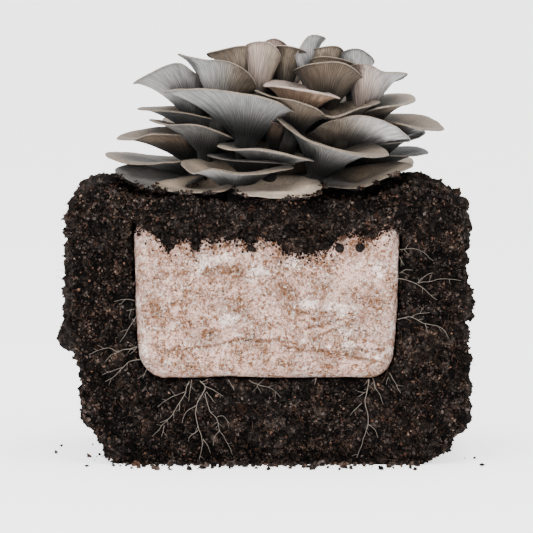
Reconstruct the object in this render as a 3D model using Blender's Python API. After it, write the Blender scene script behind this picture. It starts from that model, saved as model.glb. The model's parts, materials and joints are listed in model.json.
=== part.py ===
"""Oyster mushroom grow kit: a cluster of oyster mushrooms growing out of a block of
mycelium-grown sawdust, which is bedded in a mass of dark soil whose front is cut away.

Run with: blender --background --python part.py
Metres, +Z up. The origin is the middle of the soil's flat underside, and -Y is the cut front.
"""

import math
from typing import NamedTuple

import bmesh
import bpy
from mathutils import Matrix, Vector, noise

MM = 0.001

# The sawdust block, a common five-pound fruiting block of 8 x 5 x 5 inches.
BLOCK_WIDTH = 0.203
BLOCK_DEPTH = 0.127
BLOCK_HEIGHT = 0.127
BLOCK_CORNER = 0.019  # seen from the front
BLOCK_EDGE = 0.009  # round the front and the back
BLOCK_TAPER = 0.05  # how much narrower the block is at its foot, as a share of its width
BLOCK_BUMPS = 0.0012

# The soil it is bedded in.
SOIL_LEFT = -0.150
SOIL_RIGHT = 0.152
SOIL_FRONT = -0.0600
SOIL_BACK = 0.116
SOIL_UNDER_BLOCK = 0.067
SOIL_OVER_BLOCK = 0.010
SOIL_CORNER = 0.014
SOIL_LUMPS = 0.005
SOIL_LUMP_LENGTH = 0.040
SOIL_CELLS = (9, 5, 8)
# how far the soil rises at each side of the cluster: the middle, half width and height
SOIL_MOUNDS = ((-0.130, 0.030, 0.011), (0.113, 0.042, 0.0105))
# The sides round in towards the foot, and the left one is hollowed below its middle.
FOOT_TUCK = 0.028
FOOT_HEIGHT = 0.050
LEFT_TUCK = 0.008
LEFT_TUCK_HEIGHTS = (0.078, 0.098)
LIP = 0.010  # how far the soil on top hangs out over the block's front
LIP_FOOT = 0.176

BLOCK_FRONT = SOIL_FRONT - 0.0035
BLOCK_FOOT = SOIL_UNDER_BLOCK
BLOCK_TOP = BLOCK_FOOT + BLOCK_HEIGHT
SOIL_TOP = BLOCK_TOP + SOIL_OVER_BLOCK

# The fused stem base in the middle of the cluster.
BASE_CENTRE = Vector((0.004, 0.010, BLOCK_TOP + 0.006))
BASE_RADII = Vector((0.058, 0.048, 0.060))

CLEARANCE = 0.0005  # between pieces that touch
RIM_THICKNESS = 0.0016
FLESH = 0.35  # thickness over the stem, as a share of the cap's depth
FLARE = 1.8  # how sharply the underside turns from stem to cap
STEM_FOOT = 0.6  # where stems start, as a share of the way from the base's middle
CAP_SIDES = 8
WELD = 0.000002  # points nearer than this are made one
FACET_ANGLE = math.radians(1)  # faces flatter than this to each other are joined

CAP_TAUPE = (0.34, 0.29, 0.235)
BLOCK_PINK = (0.58, 0.43, 0.36)
SOIL_BROWN = (0.020, 0.014, 0.011)
ROOT_GREY = (0.42, 0.38, 0.34)


class Mushroom(NamedTuple):
    """One mushroom, in millimetres.

    throat: the middle of the top of its stem, where the gills begin.
    rim: points around the cap's edge, which a smooth closed curve runs through: first the
    outer edge from left to right, and then the inner edge from right to left.
    """

    name: str
    throat: tuple
    rim: tuple
    stem: float = 6.0


def fan(name, azimuth, reach, height, lift, size, wave=0.0):
    """A mushroom of the hidden side: a plain fan that grows out to this azimuth.

    reach: distance of the rim's middle from the cluster's axis, at this height.
    size: half width and half length. wave: how far one side of the rim is higher.
    """
    turn, rise = math.radians(azimuth), math.radians(lift)
    out = Vector((math.cos(turn) * math.cos(rise), math.sin(turn) * math.cos(rise), math.sin(rise)))
    side = Vector((-math.sin(turn), math.cos(turn), 0))
    up = out.cross(side)
    middle = Vector((AXIS[0] + reach * math.cos(turn), AXIS[1] + reach * math.sin(turn), height))
    rim = []
    for i in range(7):
        angle = 2 * math.pi * i / 7
        place = middle + out * size[1] * math.cos(angle) + side * size[0] * math.sin(angle)
        rim.append(tuple(place + up * wave * math.sin(2 * angle + azimuth)))
    throat = middle - out * size[1] * 0.6 - up * 0.6 * size[1]
    return Mushroom(name, tuple(throat), tuple(rim))


AXIS = (3, 12)
MUSHROOMS = (
    # the skirt, whose tops droop towards the soil
    Mushroom("skirt_mushroom_1", (-60, -26, 214), (
        (-116, -30, 228), (-108, -46, 220), (-86, -62, 213), (-64, -60, 213),
        (-44, -26, 225), (-82, -4, 231))),
    Mushroom("skirt_mushroom_2", (-46, -48, 208), (
        (-86, -60, 217), (-77, -71, 213), (-55, -78, 212), (-32, -75, 213),
        (-24, -46, 219), (-58, -34, 221))),
    Mushroom("skirt_mushroom_3", (-24, -50, 209), (
        (-65, -62, 234), (-56, -78, 226), (-42, -85, 229), (-18, -88, 226), (10, -84, 229),
        (20, -66, 230), (-5, -38, 231), (-45, -38, 234))),
    Mushroom("skirt_mushroom_4", (8, -58, 209), (
        (-24, -70, 212), (-12, -89, 210), (12, -98, 209), (34, -90, 210),
        (42, -72, 216), (30, -44, 222), (-14, -46, 221))),
    Mushroom("skirt_mushroom_5", (70, -40, 211), (
        (42, -62, 217), (50, -80, 216), (70, -82, 216), (88, -70, 221), (112, -46, 229),
        (100, -24, 231), (72, -24, 228), (50, -40, 223))),
    # the lower tier
    Mushroom("lower_mushroom_1", (-60, -8, 216), (
        (-126, -5, 237), (-112, -36, 232), (-88, -50, 231), (-62, -42, 233),
        (-50, 8, 235), (-80, 32, 233), (-112, 24, 236))),
    Mushroom("lower_mushroom_2", (-56, -18, 230), (
        (-116, -18, 249), (-105, -34, 249), (-88, -43, 254), (-62, -44, 254),
        (-50, -10, 255), (-82, 4, 256), (-106, 0, 253))),
    Mushroom("lower_mushroom_3", (-47, -40, 239), (
        (-90, -34, 265), (-78, -52, 262), (-55, -65, 262), (-36, -66, 257), (-25, -54, 251),
        (-34, -28, 253), (-70, -16, 260))),
    Mushroom("lower_mushroom_4", (2, -48, 225), (
        (-37, -66, 247), (-26, -83, 244), (-6, -90, 245), (16, -88, 241), (36, -72, 235),
        (24, -44, 239), (-4, -36, 247), (-28, -44, 247))),
    Mushroom("lower_mushroom_5", (-10, -38, 216), (
        (-45, -50, 239), (-26, -68, 236), (5, -72, 234), (22, -58, 232),
        (2, -30, 236), (-30, -26, 238))),
    Mushroom("lower_mushroom_6", (40, -50, 224), (
        (8, -62, 267), (24, -80, 255), (46, -90, 247), (66, -92, 242), (84, -84, 239),
        (94, -62, 241), (84, -38, 246), (50, -34, 252), (20, -42, 260)), 8.0),
    Mushroom("lower_mushroom_7", (75, -8, 218), (
        (96, -38, 237), (116, -30, 237), (126, -8, 238), (118, 16, 241),
        (94, 24, 240), (62, 6, 238), (68, -28, 237))),
    Mushroom("lower_mushroom_8", (84, -10, 230), (
        (92, -40, 246), (112, -36, 249), (123, -16, 254), (120, 6, 253),
        (102, 16, 250), (73, 6, 247), (70, -24, 245))),
    # the middle tier
    Mushroom("middle_mushroom_1", (-46, -22, 246), (
        (-100, -12, 273), (-84, -34, 272), (-62, -46, 270), (-40, -46, 265),
        (-38, -14, 267), (-62, 2, 272), (-86, 10, 272))),
    Mushroom("middle_mushroom_2", (-15, -50, 250), (
        (-79, -46, 287), (-54, -74, 291), (-22, -87, 288), (4, -84, 282), (23, -64, 271),
        (12, -40, 270), (-24, -30, 279), (-60, -28, 284)), 9.0),
    Mushroom("middle_mushroom_3", (6, -42, 240), (
        (-6, -54, 262), (4, -62, 264), (16, -54, 260), (14, -38, 260), (0, -36, 262)), 5.0),
    Mushroom("middle_mushroom_4", (56, -34, 237), (
        (32, -46, 254), (48, -66, 264), (72, -71, 268), (96, -58, 262), (111, -36, 249),
        (98, -10, 248), (66, -8, 257), (40, -20, 255)), 7.0),
    Mushroom("middle_mushroom_5", (82, -10, 243), (
        (84, -36, 264), (104, -46, 262), (126, -40, 257), (137, -20, 257), (126, 8, 265),
        (98, 16, 266), (70, 4, 263), (68, -20, 263))),
    Mushroom("middle_mushroom_6", (20, -50, 254), (
        (-9, -56, 288), (4, -74, 284), (22, -82, 281), (38, -78, 275), (46, -60, 267),
        (34, -38, 271), (12, -34, 280))),
    Mushroom("middle_mushroom_7", (58, -44, 255), (
        (42, -60, 270), (52, -74, 268), (72, -68, 274), (87, -46, 278),
        (70, -28, 278), (45, -30, 274))),
    Mushroom("middle_mushroom_8", (78, -28, 257), (
        (70, -50, 269), (90, -56, 275), (108, -44, 277), (115, -24, 280), (110, -4, 283),
        (90, 6, 282), (64, -4, 277), (58, -28, 271))),
    # the upper tier
    Mushroom("upper_mushroom_1", (-54, -28, 263), (
        (-103, -22, 293), (-88, -42, 302), (-68, -52, 309), (-54, -46, 300),
        (-38, -16, 291), (-64, 2, 295), (-94, -6, 293))),
    Mushroom("upper_mushroom_2", (-36, -40, 267), (
        (-68, -40, 315), (-50, -58, 312), (-26, -66, 308), (-11, -60, 298), (-7, -46, 286),
        (-14, -22, 291), (-46, -12, 302)), 7.0),
    Mushroom("upper_mushroom_3", (24, -44, 265), (
        (-2, -52, 292), (8, -68, 292), (24, -76, 290), (42, -74, 287), (56, -58, 282),
        (42, -34, 287), (22, -24, 292), (4, -32, 295))),
    Mushroom("upper_mushroom_4", (44, -30, 270), (
        (21, -34, 303), (38, -56, 309), (60, -58, 309), (75, -42, 297), (70, -20, 290),
        (46, -12, 293), (26, -18, 298)), 7.0),
    Mushroom("upper_mushroom_5", (74, -34, 268), (
        (68, -44, 307), (80, -52, 307), (90, -46, 302), (109, -30, 300), (98, -8, 293),
        (78, 0, 294), (60, -18, 300))),
    # the crown
    Mushroom("crown_mushroom_1", (-34, -6, 264), (
        (-66, -8, 297), (-52, -24, 299), (-34, -20, 300), (-30, 2, 296), (-48, 10, 292)), 5.0),
    Mushroom("crown_mushroom_2", (-18, -16, 276), (
        (-46, -14, 315), (-34, -32, 319), (-16, -40, 322), (-6, -28, 318),
        (-12, 0, 310), (-36, 4, 309))),
    Mushroom("crown_mushroom_3", (-9, -41, 276), (
        (-16, -38, 322), (-6, -48, 325), (4, -47, 323), (11, -36, 314), (8, -16, 306),
        (-6, -12, 308), (-16, -20, 313))),
    Mushroom("crown_mushroom_4", (13, -16, 282), (
        (-2, -22, 318), (14, -35, 321), (29, -24, 317), (31, 0, 310), (14, 8, 307),
        (-4, -4, 312)), 5.0),
    Mushroom("crown_mushroom_5", (32, -13, 294), (
        (22, -26, 313), (33, -23, 328), (46, -14, 327), (42, 2, 321), (30, 6, 314),
        (18, -6, 311)), 5.0),
    Mushroom("crown_mushroom_6", (4, -6, 288), (
        (-6, 4, 320), (6, -8, 326), (16, 0, 320), (16, 14, 314), (2, 18, 314)), 5.0),
    Mushroom("crown_mushroom_7", (44, -17, 282), (
        (34, -12, 317), (44, -22, 320), (57, -18, 319), (60, -2, 311), (48, 10, 308),
        (34, 4, 311)), 5.0),
    Mushroom("crown_mushroom_8", (48, -14, 278), (
        (34, -24, 310), (48, -34, 313), (70, -24, 307), (64, 0, 302), (40, 0, 305)), 5.0),
    Mushroom("crown_mushroom_9", (67, -15, 279), (
        (55, -8, 311), (62, -17, 317), (74, -15, 317), (84, -2, 307), (72, 14, 301),
        (56, 10, 304)), 5.0),
    # the hidden side
    fan("back_mushroom_1", 164, 86, 226, 0, (40, 34), 3),
    fan("back_mushroom_2", 118, 74, 222, -4, (42, 34), 3),
    fan("back_mushroom_3", 66, 76, 224, -3, (42, 34), -3),
    fan("back_mushroom_4", 20, 84, 226, 2, (38, 34), 3),
    fan("back_mushroom_5", 142, 66, 254, 12, (38, 32), -3),
    fan("back_mushroom_6", 92, 58, 250, 14, (40, 30), 3),
    fan("back_mushroom_7", 42, 64, 254, 12, (38, 32), 3),
    fan("back_mushroom_8", 166, 56, 284, 32, (32, 27), 3),
    fan("back_mushroom_9", 116, 44, 284, 38, (32, 27), -3),
    fan("back_mushroom_10", 64, 44, 282, 38, (32, 27), 3),
    fan("back_mushroom_11", 14, 58, 282, 30, (30, 27), 3),
    fan("back_mushroom_12", 92, 18, 300, 60, (26, 22), 3),
)


class Strand(NamedTuple):
    """A mycelium strand on the soil's cut front: millimetres across and up from its root."""

    name: str
    radius: float
    route: tuple


STRANDS = (
    Strand("strand_1", 1.1, ((-60, 64), (-62, 57), (-67, 48), (-75, 36), (-83, 27), (-88, 22))),
    Strand("strand_2", 1.7, (
        (-51, 64), (-47, 60), (-49, 54), (-53, 47), (-54, 36), (-52, 27), (-49, 19), (-50, 11), (-52, 4))),
    Strand("strand_3", 1.2, (
        (-45, 51), (-44, 46), (-41, 40), (-37, 35), (-36, 27), (-31, 20), (-28, 14), (-26, 8))),
    Strand("strand_4", 1.4, (
        (79, 64), (77, 56), (76, 47), (78, 39), (78, 32), (75, 22), (72, 12), (70, 5))),
    Strand("strand_5", 0.9, ((-103, 80), (-111, 75), (-118, 67), (-124, 64))),
    Strand("strand_6", 0.9, ((-104, 91), (-113, 87), (-122, 89), (-136, 86))),
    Strand("strand_7", 0.9, ((104, 142), (112, 141), (122, 134), (131, 128))),
    Strand("strand_8", 0.9, ((104, 112), (111, 113), (121, 109), (134, 105), (140, 98))),
    Strand("strand_9", 0.8, ((-13, 64), (-6, 61), (4, 60), (11, 51))),
)


def new_object(name, mesh):
    """Links an object that holds this mesh, closed and with its faces pointing out."""
    obj = bpy.data.objects.new(name, mesh)
    bpy.context.scene.collection.objects.link(obj)
    return obj


def mesh_of(name, build):
    """A mesh made by build, which adds its points and faces to a BMesh."""
    shape = bmesh.new()
    build(shape)
    bmesh.ops.triangulate(shape, faces=shape.faces)
    bmesh.ops.recalc_face_normals(shape, faces=shape.faces)
    if shape.calc_volume(signed=True) < 0:
        bmesh.ops.reverse_faces(shape, faces=shape.faces)
    mesh = bpy.data.meshes.new(name)
    shape.to_mesh(mesh)
    shape.free()
    return mesh


def skin_rings(shape, rings, first, last):
    """Joins equal rings of points side by side into a tube, closed by a fan at each end."""
    rows = [[shape.verts.new(p) for p in ring] for ring in rings]
    start, end = shape.verts.new(first), shape.verts.new(last)
    sides = len(rows[0])
    for i in range(sides):
        j = (i + 1) % sides
        shape.faces.new((start, rows[0][j], rows[0][i]))
        for near, far in zip(rows, rows[1:]):
            shape.faces.new((near[i], near[j], far[j], far[i]))
        shape.faces.new((end, rows[-1][i], rows[-1][j]))


def material(name, colour, roughness):
    made = bpy.data.materials.new(name)
    made.use_nodes = True
    shader = made.node_tree.nodes["Principled BSDF"]
    shader.inputs["Base Color"].default_value = (*colour, 1.0)
    shader.inputs["Roughness"].default_value = roughness
    return made


# ---------------------------------------------------------------- mushrooms


def closed_curve(points, count):
    """Places evenly along a smooth closed curve through the points."""
    number, fine = len(points), 16
    walk = []
    for i in range(number):
        a, b, c, d = (points[(i + k) % number] for k in (-1, 0, 1, 2))
        for j in range(fine):
            t = j / fine
            curve = (2 * a - 5 * b + 4 * c - d) * t * t + (3 * b - a - 3 * c + d) * t**3
            walk.append(b + ((c - a) * t + curve) * 0.5)
    walk.append(walk[0])
    lengths = [0.0]
    for a, b in zip(walk, walk[1:]):
        lengths.append(lengths[-1] + (b - a).length)
    places, k = [], 0
    for i in range(count):
        goal = lengths[-1] * i / count
        while lengths[k + 1] < goal:
            k += 1
        places.append(walk[k].lerp(walk[k + 1], (goal - lengths[k]) / (lengths[k + 1] - lengths[k])))
    return places


def loop_normal(loop):
    """The direction a closed loop of points faces."""
    total = Vector()
    for a, b in zip(loop, loop[1:] + loop[:1]):
        total += a.cross(b)
    return total.normalized()


class Cap:
    """Places on one mushroom, from its design row."""

    def __init__(self, mushroom, sides):
        self.rim = closed_curve([Vector(p) * MM for p in mushroom.rim], sides)
        self.up = loop_normal(self.rim)
        self.throat = Vector(mushroom.throat) * MM
        self.depths = [(p - self.throat).dot(self.up) for p in self.rim]
        arms = [p - self.throat - self.up * d for p, d in zip(self.rim, self.depths)]
        self.arms = [arm.normalized() * mushroom.stem * MM for arm in arms]

    def under(self, share):
        """The ring at this share of the way from the throat, 0, to the rim, 1."""
        ring = []
        for edge, arm, depth in zip(self.rim, self.arms, self.depths):
            rest = 1 - share
            bulge = depth * (rest - rest**FLARE)
            ring.append((self.throat + arm).lerp(edge, share) + self.up * bulge)
        return ring

    def top(self, share):
        """The ring over it on the upper side."""
        flesh = [RIM_THICKNESS + max(0, d) * FLESH * (1 - share) ** FLARE for d in self.depths]
        return [p + self.up * f for p, f in zip(self.under(share), flesh)]

    def stem(self, steps):
        """Rings down the stem, from below the throat to the fused base."""
        start = self.throat
        foot = BASE_CENTRE + (start - BASE_CENTRE) * STEM_FOOT
        bend = start - self.up * 0.45 * (start - foot).length
        arms, direction = self.arms, -self.up
        rings = []
        for i in range(1, steps + 1):
            t = i / steps
            centre = start * (1 - t) ** 2 + bend * 2 * t * (1 - t) + foot * t * t
            heading = ((bend - start) * (1 - t) + (foot - bend) * t).normalized()
            turn = direction.rotation_difference(heading)
            arms = [turn @ arm for arm in arms]
            direction = heading
            rings.append([centre + arm for arm in arms])
        return rings, foot


def mushroom_mesh(mushroom, sides=CAP_SIDES):
    """One mushroom, cap and stem in one closed surface: up the outside of the stem, along
    the underside to the rim and back over the top to its middle."""
    cap = Cap(mushroom, sides)
    stem, foot = cap.stem(1)
    rings = stem[::-1] + [cap.under(share) for share in (0.0, 0.4, 1.0)]
    rings += [cap.top(share) for share in (1.0, 0.4)]
    middle = sum(cap.top(0.0), Vector()) / sides
    return mesh_of(mushroom.name, lambda shape: skin_rings(shape, rings, foot, middle))


def grown(mesh, distance):
    """A copy of the mesh with its surface moved outwards."""
    shape = bmesh.new()
    shape.from_mesh(mesh)
    shape.normal_update()
    for v in shape.verts:
        v.co += v.normal * distance
    copy = bpy.data.meshes.new(mesh.name)
    shape.to_mesh(copy)
    shape.free()
    return copy


# ---------------------------------------------------------------- block, soil and base


def rounded(point, low, high, radius):
    """The point moved onto a box with round edges and corners."""
    core = Vector(max(l + radius, min(h - radius, c)) for c, l, h in zip(point, low, high))
    away = point - core
    return core + away * min(1, radius / max(away.length, 1e-9))


def grid_box(shape, low, high, cells):
    """The faces of a box, cut into cells along each side."""
    seen = {}

    def corner(index):
        if index not in seen:
            place = Vector(l + (h - l) * i / n for l, h, i, n in zip(low, high, index, cells))
            seen[index] = shape.verts.new(place)
        return seen[index]

    for axis in range(3):
        one, two = (axis + 1) % 3, (axis + 2) % 3
        for end in (0, cells[axis]):
            for i in range(cells[one]):
                for j in range(cells[two]):
                    loop = []
                    for di, dj in ((0, 0), (1, 0), (1, 1), (0, 1)):
                        index = [0, 0, 0]
                        index[axis], index[one], index[two] = end, i + di, j + dj
                        loop.append(corner(tuple(index)))
                    shape.faces.new(loop if end else reversed(loop))


def block_mesh():
    half = BLOCK_WIDTH / 2
    low = Vector((-half, BLOCK_FRONT, BLOCK_FOOT))
    high = Vector((half, BLOCK_FRONT + BLOCK_DEPTH, BLOCK_TOP))

    middle = (low + high) / 2
    ends = (0, 0.17 * BLOCK_EDGE, 0.5 * BLOCK_EDGE, BLOCK_EDGE)
    rows = [BLOCK_FRONT + end for end in ends] + [high.y - end for end in reversed(ends)]
    past = Vector((0, BLOCK_CORNER, 0))

    def build(shape):
        grid_box(shape, low, high, (8, len(rows) - 1, 6))
        for v in shape.verts:
            edge = min(v.co.x - low.x, high.x - v.co.x, v.co.z - low.z, high.z - v.co.z) < 1e-6
            y = rows[round((v.co.y - low.y) / BLOCK_DEPTH * (len(rows) - 1))]
            place = rounded(v.co, low - past, high + past, BLOCK_CORNER)
            inset = max(0, BLOCK_EDGE - min(y - low.y, high.y - y)) if edge else BLOCK_EDGE
            pull = BLOCK_EDGE - math.sqrt(max(0, BLOCK_EDGE**2 - inset**2))
            place.x *= 1 - pull / half
            place.z = middle.z + (place.z - middle.z) * (1 - pull / (BLOCK_HEIGHT / 2))
            v.co = Vector((place.x, y, place.z))
            under = (BLOCK_TOP - v.co.z) / BLOCK_HEIGHT
            v.co.x *= 1 - BLOCK_TAPER * under**3
            v.co += (v.co - middle).normalized() * BLOCK_BUMPS * noise.noise(v.co / 0.03)

    return mesh_of("substrate_block", build)


def soil_rise(x):
    """How much higher than in the middle the soil's top lies here."""
    rise = 0.0
    for middle, half, height in SOIL_MOUNDS:
        away = min(1.0, abs(x - middle) / half)
        rise += height * (1 - away * away) ** 2
    return rise


def soil_tuck(x, z):
    """How far the soil's side lies further in here than at half its height."""
    tuck = FOOT_TUCK * max(0.0, 1 - z / FOOT_HEIGHT) ** 2
    if x < 0:
        low, high = LEFT_TUCK_HEIGHTS
        tuck += LEFT_TUCK * min(1.0, max(0.0, (high - z) / (high - low)))
    return tuck


def soil_mesh():
    low = Vector((SOIL_LEFT, SOIL_FRONT, 0))
    high = Vector((SOIL_RIGHT, SOIL_BACK, SOIL_TOP))
    middle = (low + high) / 2

    def build(shape):
        grid_box(shape, low, high, SOIL_CELLS)
        for v in shape.verts:
            front = v.co.y < SOIL_FRONT + 1e-6
            place = rounded(v.co, low - Vector((0, SOIL_CORNER, 0)), high, SOIL_CORNER)
            lump = SOIL_LUMPS * noise.noise(place / SOIL_LUMP_LENGTH)
            outward = place - middle
            if front:
                outward.y = 0
            place += outward.normalized() * lump
            up = place.z / SOIL_TOP
            place.z = max(0.0, place.z + soil_rise(place.x) * up**3)
            if front:
                out = min(1.0, max(0.0, (place.z - LIP_FOOT) / (BLOCK_TOP - LIP_FOOT)))
                place.y = SOIL_FRONT - LIP * out
            if place.z < 0.002:
                place.z = 0.0
            side = min(1.0, abs(place.x) / 0.13)
            place.x -= math.copysign(soil_tuck(place.x, place.z) * side, place.x)
            v.co = place

    return mesh_of("soil", build)


def base_mesh():
    def build(shape):
        bmesh.ops.create_icosphere(shape, subdivisions=2, radius=1)
        for v in shape.verts:
            bump = 1 + 0.08 * noise.noise(v.co * 2.2)
            v.co = Vector(c * r * bump for c, r in zip(v.co, BASE_RADII)) + BASE_CENTRE
            v.co.z = max(v.co.z, BLOCK_TOP + 2 * CLEARANCE + BLOCK_BUMPS)

    return mesh_of("stem_base", build)


def strand_mesh(strand, sides=5):
    """A tapering tube that lies just clear of the soil's cut front."""
    route = [Vector((x * MM, 0, z * MM)) for x, z in strand.route]
    rings = []
    for i, place in enumerate(route):
        ahead = route[min(i + 1, len(route) - 1)] - route[max(i - 1, 0)]
        across = ahead.normalized().cross(Vector((0, 1, 0)))
        radius = strand.radius * MM * (1 - 0.7 * i / (len(route) - 1))
        middle = place + Vector((0, SOIL_FRONT - radius - CLEARANCE, 0))
        turns = [2 * math.pi * k / sides for k in range(sides)]
        rings.append([middle + across * radius * math.cos(t) + Vector((0, radius * math.sin(t), 0)) for t in turns])
    first, last = (sum(ring, Vector()) / sides for ring in (rings[0], rings[-1]))
    return mesh_of(strand.name, lambda shape: skin_rings(shape, rings, first, last))


# ---------------------------------------------------------------- fitting pieces together


def drop_flaps(shape):
    """Removes pairs of faces that lie back to back on the same three points."""
    seen = {}
    for face in shape.faces:
        seen.setdefault(frozenset(face.verts), []).append(face)
    flaps = [face for faces in seen.values() if len(faces) > 1 for face in faces]
    bmesh.ops.delete(shape, geom=flaps, context="FACES")


def simplified(shape):
    """The shape with nearly level faces joined, or as it was if that would open it."""
    trial = shape.copy()
    bmesh.ops.dissolve_limit(trial, angle_limit=FACET_ANGLE, verts=trial.verts, edges=trial.edges)
    bmesh.ops.triangulate(trial, faces=trial.faces)
    drop_flaps(trial)
    if all(len(e.link_faces) == 2 for e in trial.edges):
        return trial
    trial.free()
    return shape


def largest_piece(mesh):
    """Keeps the biggest of the bodies that a mesh holds, and tidies it."""
    shape = bmesh.new()
    shape.from_mesh(mesh)
    for _ in range(3):
        bmesh.ops.remove_doubles(shape, verts=shape.verts, dist=WELD)
        bmesh.ops.triangulate(shape, faces=shape.faces)
        drop_flaps(shape)
    left, bodies = set(shape.faces), []
    while left:
        body, edge, volume = [], [left.pop()], 0.0
        while edge:
            face = edge.pop()
            body.append(face)
            a, b, c = (v.co for v in face.verts)
            volume += a.dot(b.cross(c)) / 6
            for e in face.edges:
                for other in e.link_faces:
                    if other in left:
                        left.remove(other)
                        edge.append(other)
        bodies.append((volume, len(bodies), body))
    for _, _, body in sorted(bodies, key=lambda b: b[0])[:-1]:
        bmesh.ops.delete(shape, geom=body, context="FACES")
    result = simplified(shape)
    result.to_mesh(mesh)
    result.free()


def near(a, b):
    """Whether the boxes of two meshes meet."""
    pa, pb = ([v.co for v in m.vertices] for m in (a, b))
    return all(
        min(p[k] for p in pa) <= max(p[k] for p in pb) and min(p[k] for p in pb) <= max(p[k] for p in pa)
        for k in range(3)
    )


def trim(obj, cutters):
    """Cuts from obj what its neighbours take up, and keeps the largest piece."""
    for cutter in cutters:
        if near(obj.data, cutter.data):
            cut = obj.modifiers.new("neighbour", "BOOLEAN")
            cut.operation = "DIFFERENCE"
            cut.solver = "MANIFOLD"
            cut.object = cutter
    if not obj.modifiers:
        return
    bpy.context.view_layer.update()
    graph = bpy.context.evaluated_depsgraph_get()
    mesh = bpy.data.meshes.new_from_object(obj.evaluated_get(graph))
    obj.modifiers.clear()
    mesh.materials.clear()
    largest_piece(mesh)
    obj.data = mesh


def cutters_of(mesh):
    """Hidden helpers that cut a neighbour back: the shape itself, and one a small gap larger."""
    helpers = []
    for name, shape in (("plain_", mesh.copy()), ("grown_", grown(mesh, CLEARANCE))):
        helper = new_object(name + mesh.name, shape)
        helper.hide_render = True
        helpers.append(helper)
    return helpers


def main():
    for obj in list(bpy.data.objects):
        bpy.data.objects.remove(obj)
    flesh = material("mushroom_flesh", CAP_TAUPE, 0.6)
    sawdust = material("sawdust_block", BLOCK_PINK, 0.85)
    earth = material("soil", SOIL_BROWN, 0.95)
    fibre = material("mycelium", ROOT_GREY, 0.8)

    block = new_object("substrate_block", block_mesh())
    block.data.materials.append(sawdust)
    base = new_object("stem_base", base_mesh())
    base.data.materials.append(flesh)
    cutters = cutters_of(block.data) + cutters_of(base.data)

    for mushroom in MUSHROOMS:
        obj = new_object(mushroom.name, mushroom_mesh(mushroom))
        own = cutters_of(obj.data)
        trim(obj, cutters)
        cutters += own
        obj.data.materials.append(flesh)

    soil = new_object("soil", soil_mesh())
    trim(soil, cutters)
    soil.data.materials.append(earth)
    for strand in STRANDS:
        obj = new_object(strand.name, strand_mesh(strand))
        obj.data.materials.append(fibre)

    for cutter in cutters:
        bpy.data.objects.remove(cutter)


if __name__ == "__main__":
    main()
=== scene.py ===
"""Looks of an oyster mushroom grow kit: a cluster of oyster mushrooms on a block of
mycelium-grown sawdust, bedded in dark crumbly soil whose front is cut away.

Metres, +Z up. The origin is the middle of the soil's flat underside, and -Y is the cut front.
"""

import json
import math
from typing import NamedTuple

import bmesh
import bpy
import numpy as np
from mathutils import Matrix, Vector, noise

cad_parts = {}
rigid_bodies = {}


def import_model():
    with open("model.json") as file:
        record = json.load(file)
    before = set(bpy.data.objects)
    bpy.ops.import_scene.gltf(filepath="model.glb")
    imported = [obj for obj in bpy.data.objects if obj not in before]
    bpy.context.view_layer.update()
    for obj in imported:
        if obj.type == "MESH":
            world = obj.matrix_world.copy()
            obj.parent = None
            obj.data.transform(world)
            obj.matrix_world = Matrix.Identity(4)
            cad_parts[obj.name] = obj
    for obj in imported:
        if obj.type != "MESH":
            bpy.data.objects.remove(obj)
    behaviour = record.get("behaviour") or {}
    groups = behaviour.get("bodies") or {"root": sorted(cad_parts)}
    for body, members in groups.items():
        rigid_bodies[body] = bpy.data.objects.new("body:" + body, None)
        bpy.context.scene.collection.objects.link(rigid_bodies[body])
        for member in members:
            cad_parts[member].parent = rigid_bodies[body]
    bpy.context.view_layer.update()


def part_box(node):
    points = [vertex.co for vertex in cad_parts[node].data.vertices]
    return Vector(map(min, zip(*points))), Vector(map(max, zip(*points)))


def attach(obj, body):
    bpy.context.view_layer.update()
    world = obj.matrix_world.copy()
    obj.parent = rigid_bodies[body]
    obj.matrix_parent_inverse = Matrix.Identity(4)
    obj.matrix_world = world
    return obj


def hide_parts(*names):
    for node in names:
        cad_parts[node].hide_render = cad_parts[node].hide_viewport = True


bl_info = {
    "name": "Oyster mushroom grow kit",
    "version": (1, 0, 0),
    "blender": (4, 5, 0),
    "location": "3D View > Sidebar > Grow kit",
    "description": "Finishes a cluster of oyster mushrooms on a sawdust block bedded in soil",
    "category": "Add Mesh",
}

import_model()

MM = 0.001
BASE_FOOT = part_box("stem_base")[0][2]

# Sizes of the solids that the pieces follow, in metres.
BLOCK_WIDTH, BLOCK_DEPTH, BLOCK_HEIGHT = 0.203, 0.127, 0.127
BLOCK_FOOT, BLOCK_TOP = 0.067, 0.194
BLOCK_TAPER = 0.05  # how much narrower the foot is, as a share
SOIL_LOW, SOIL_HIGH = np.array((-0.150, -0.0600, 0.0)), np.array((0.152, 0.116, 0.204))
SOIL_CORNER = 0.014
SOIL_LUMPS, SOIL_LUMP_LENGTH = 0.005, 0.040
SOIL_MOUNDS = ((-0.130, 0.030, 0.011), (0.113, 0.042, 0.0105))  # middle, half width and height
FOOT_TUCK, FOOT_HEIGHT = 0.028, 0.050  # how far the sides round in below this height
LEFT_TUCK, LEFT_TUCK_HEIGHTS = 0.008, (0.078, 0.098)  # how far the left side is hollowed below
LIP, LIP_FOOT = 0.010, 0.176  # how far the soil stands out over the block, from this height up
SOIL_FRONT = SOIL_LOW[1]
BLOCK_FRONT = SOIL_FRONT - 0.0035
BASE_CENTRE = np.array((0.004, 0.010, 0.200))
BASE_RADII = np.array((0.058, 0.048, 0.060))
FLESH = 0.35  # thickness over the stem, as a share of the cap's depth
FLARE = 1.8  # how sharply the underside turns from stem to cap
STEM_FOOT = 0.6  # where stems start, as a share of the way from the base's middle


def paint(code):
    """Linear red, green and blue of a colour written as six hex digits."""
    return tuple(((int(code[i : i + 2], 16) / 255 + 0.055) / 1.055) ** 2.4 for i in (0, 2, 4))


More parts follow.
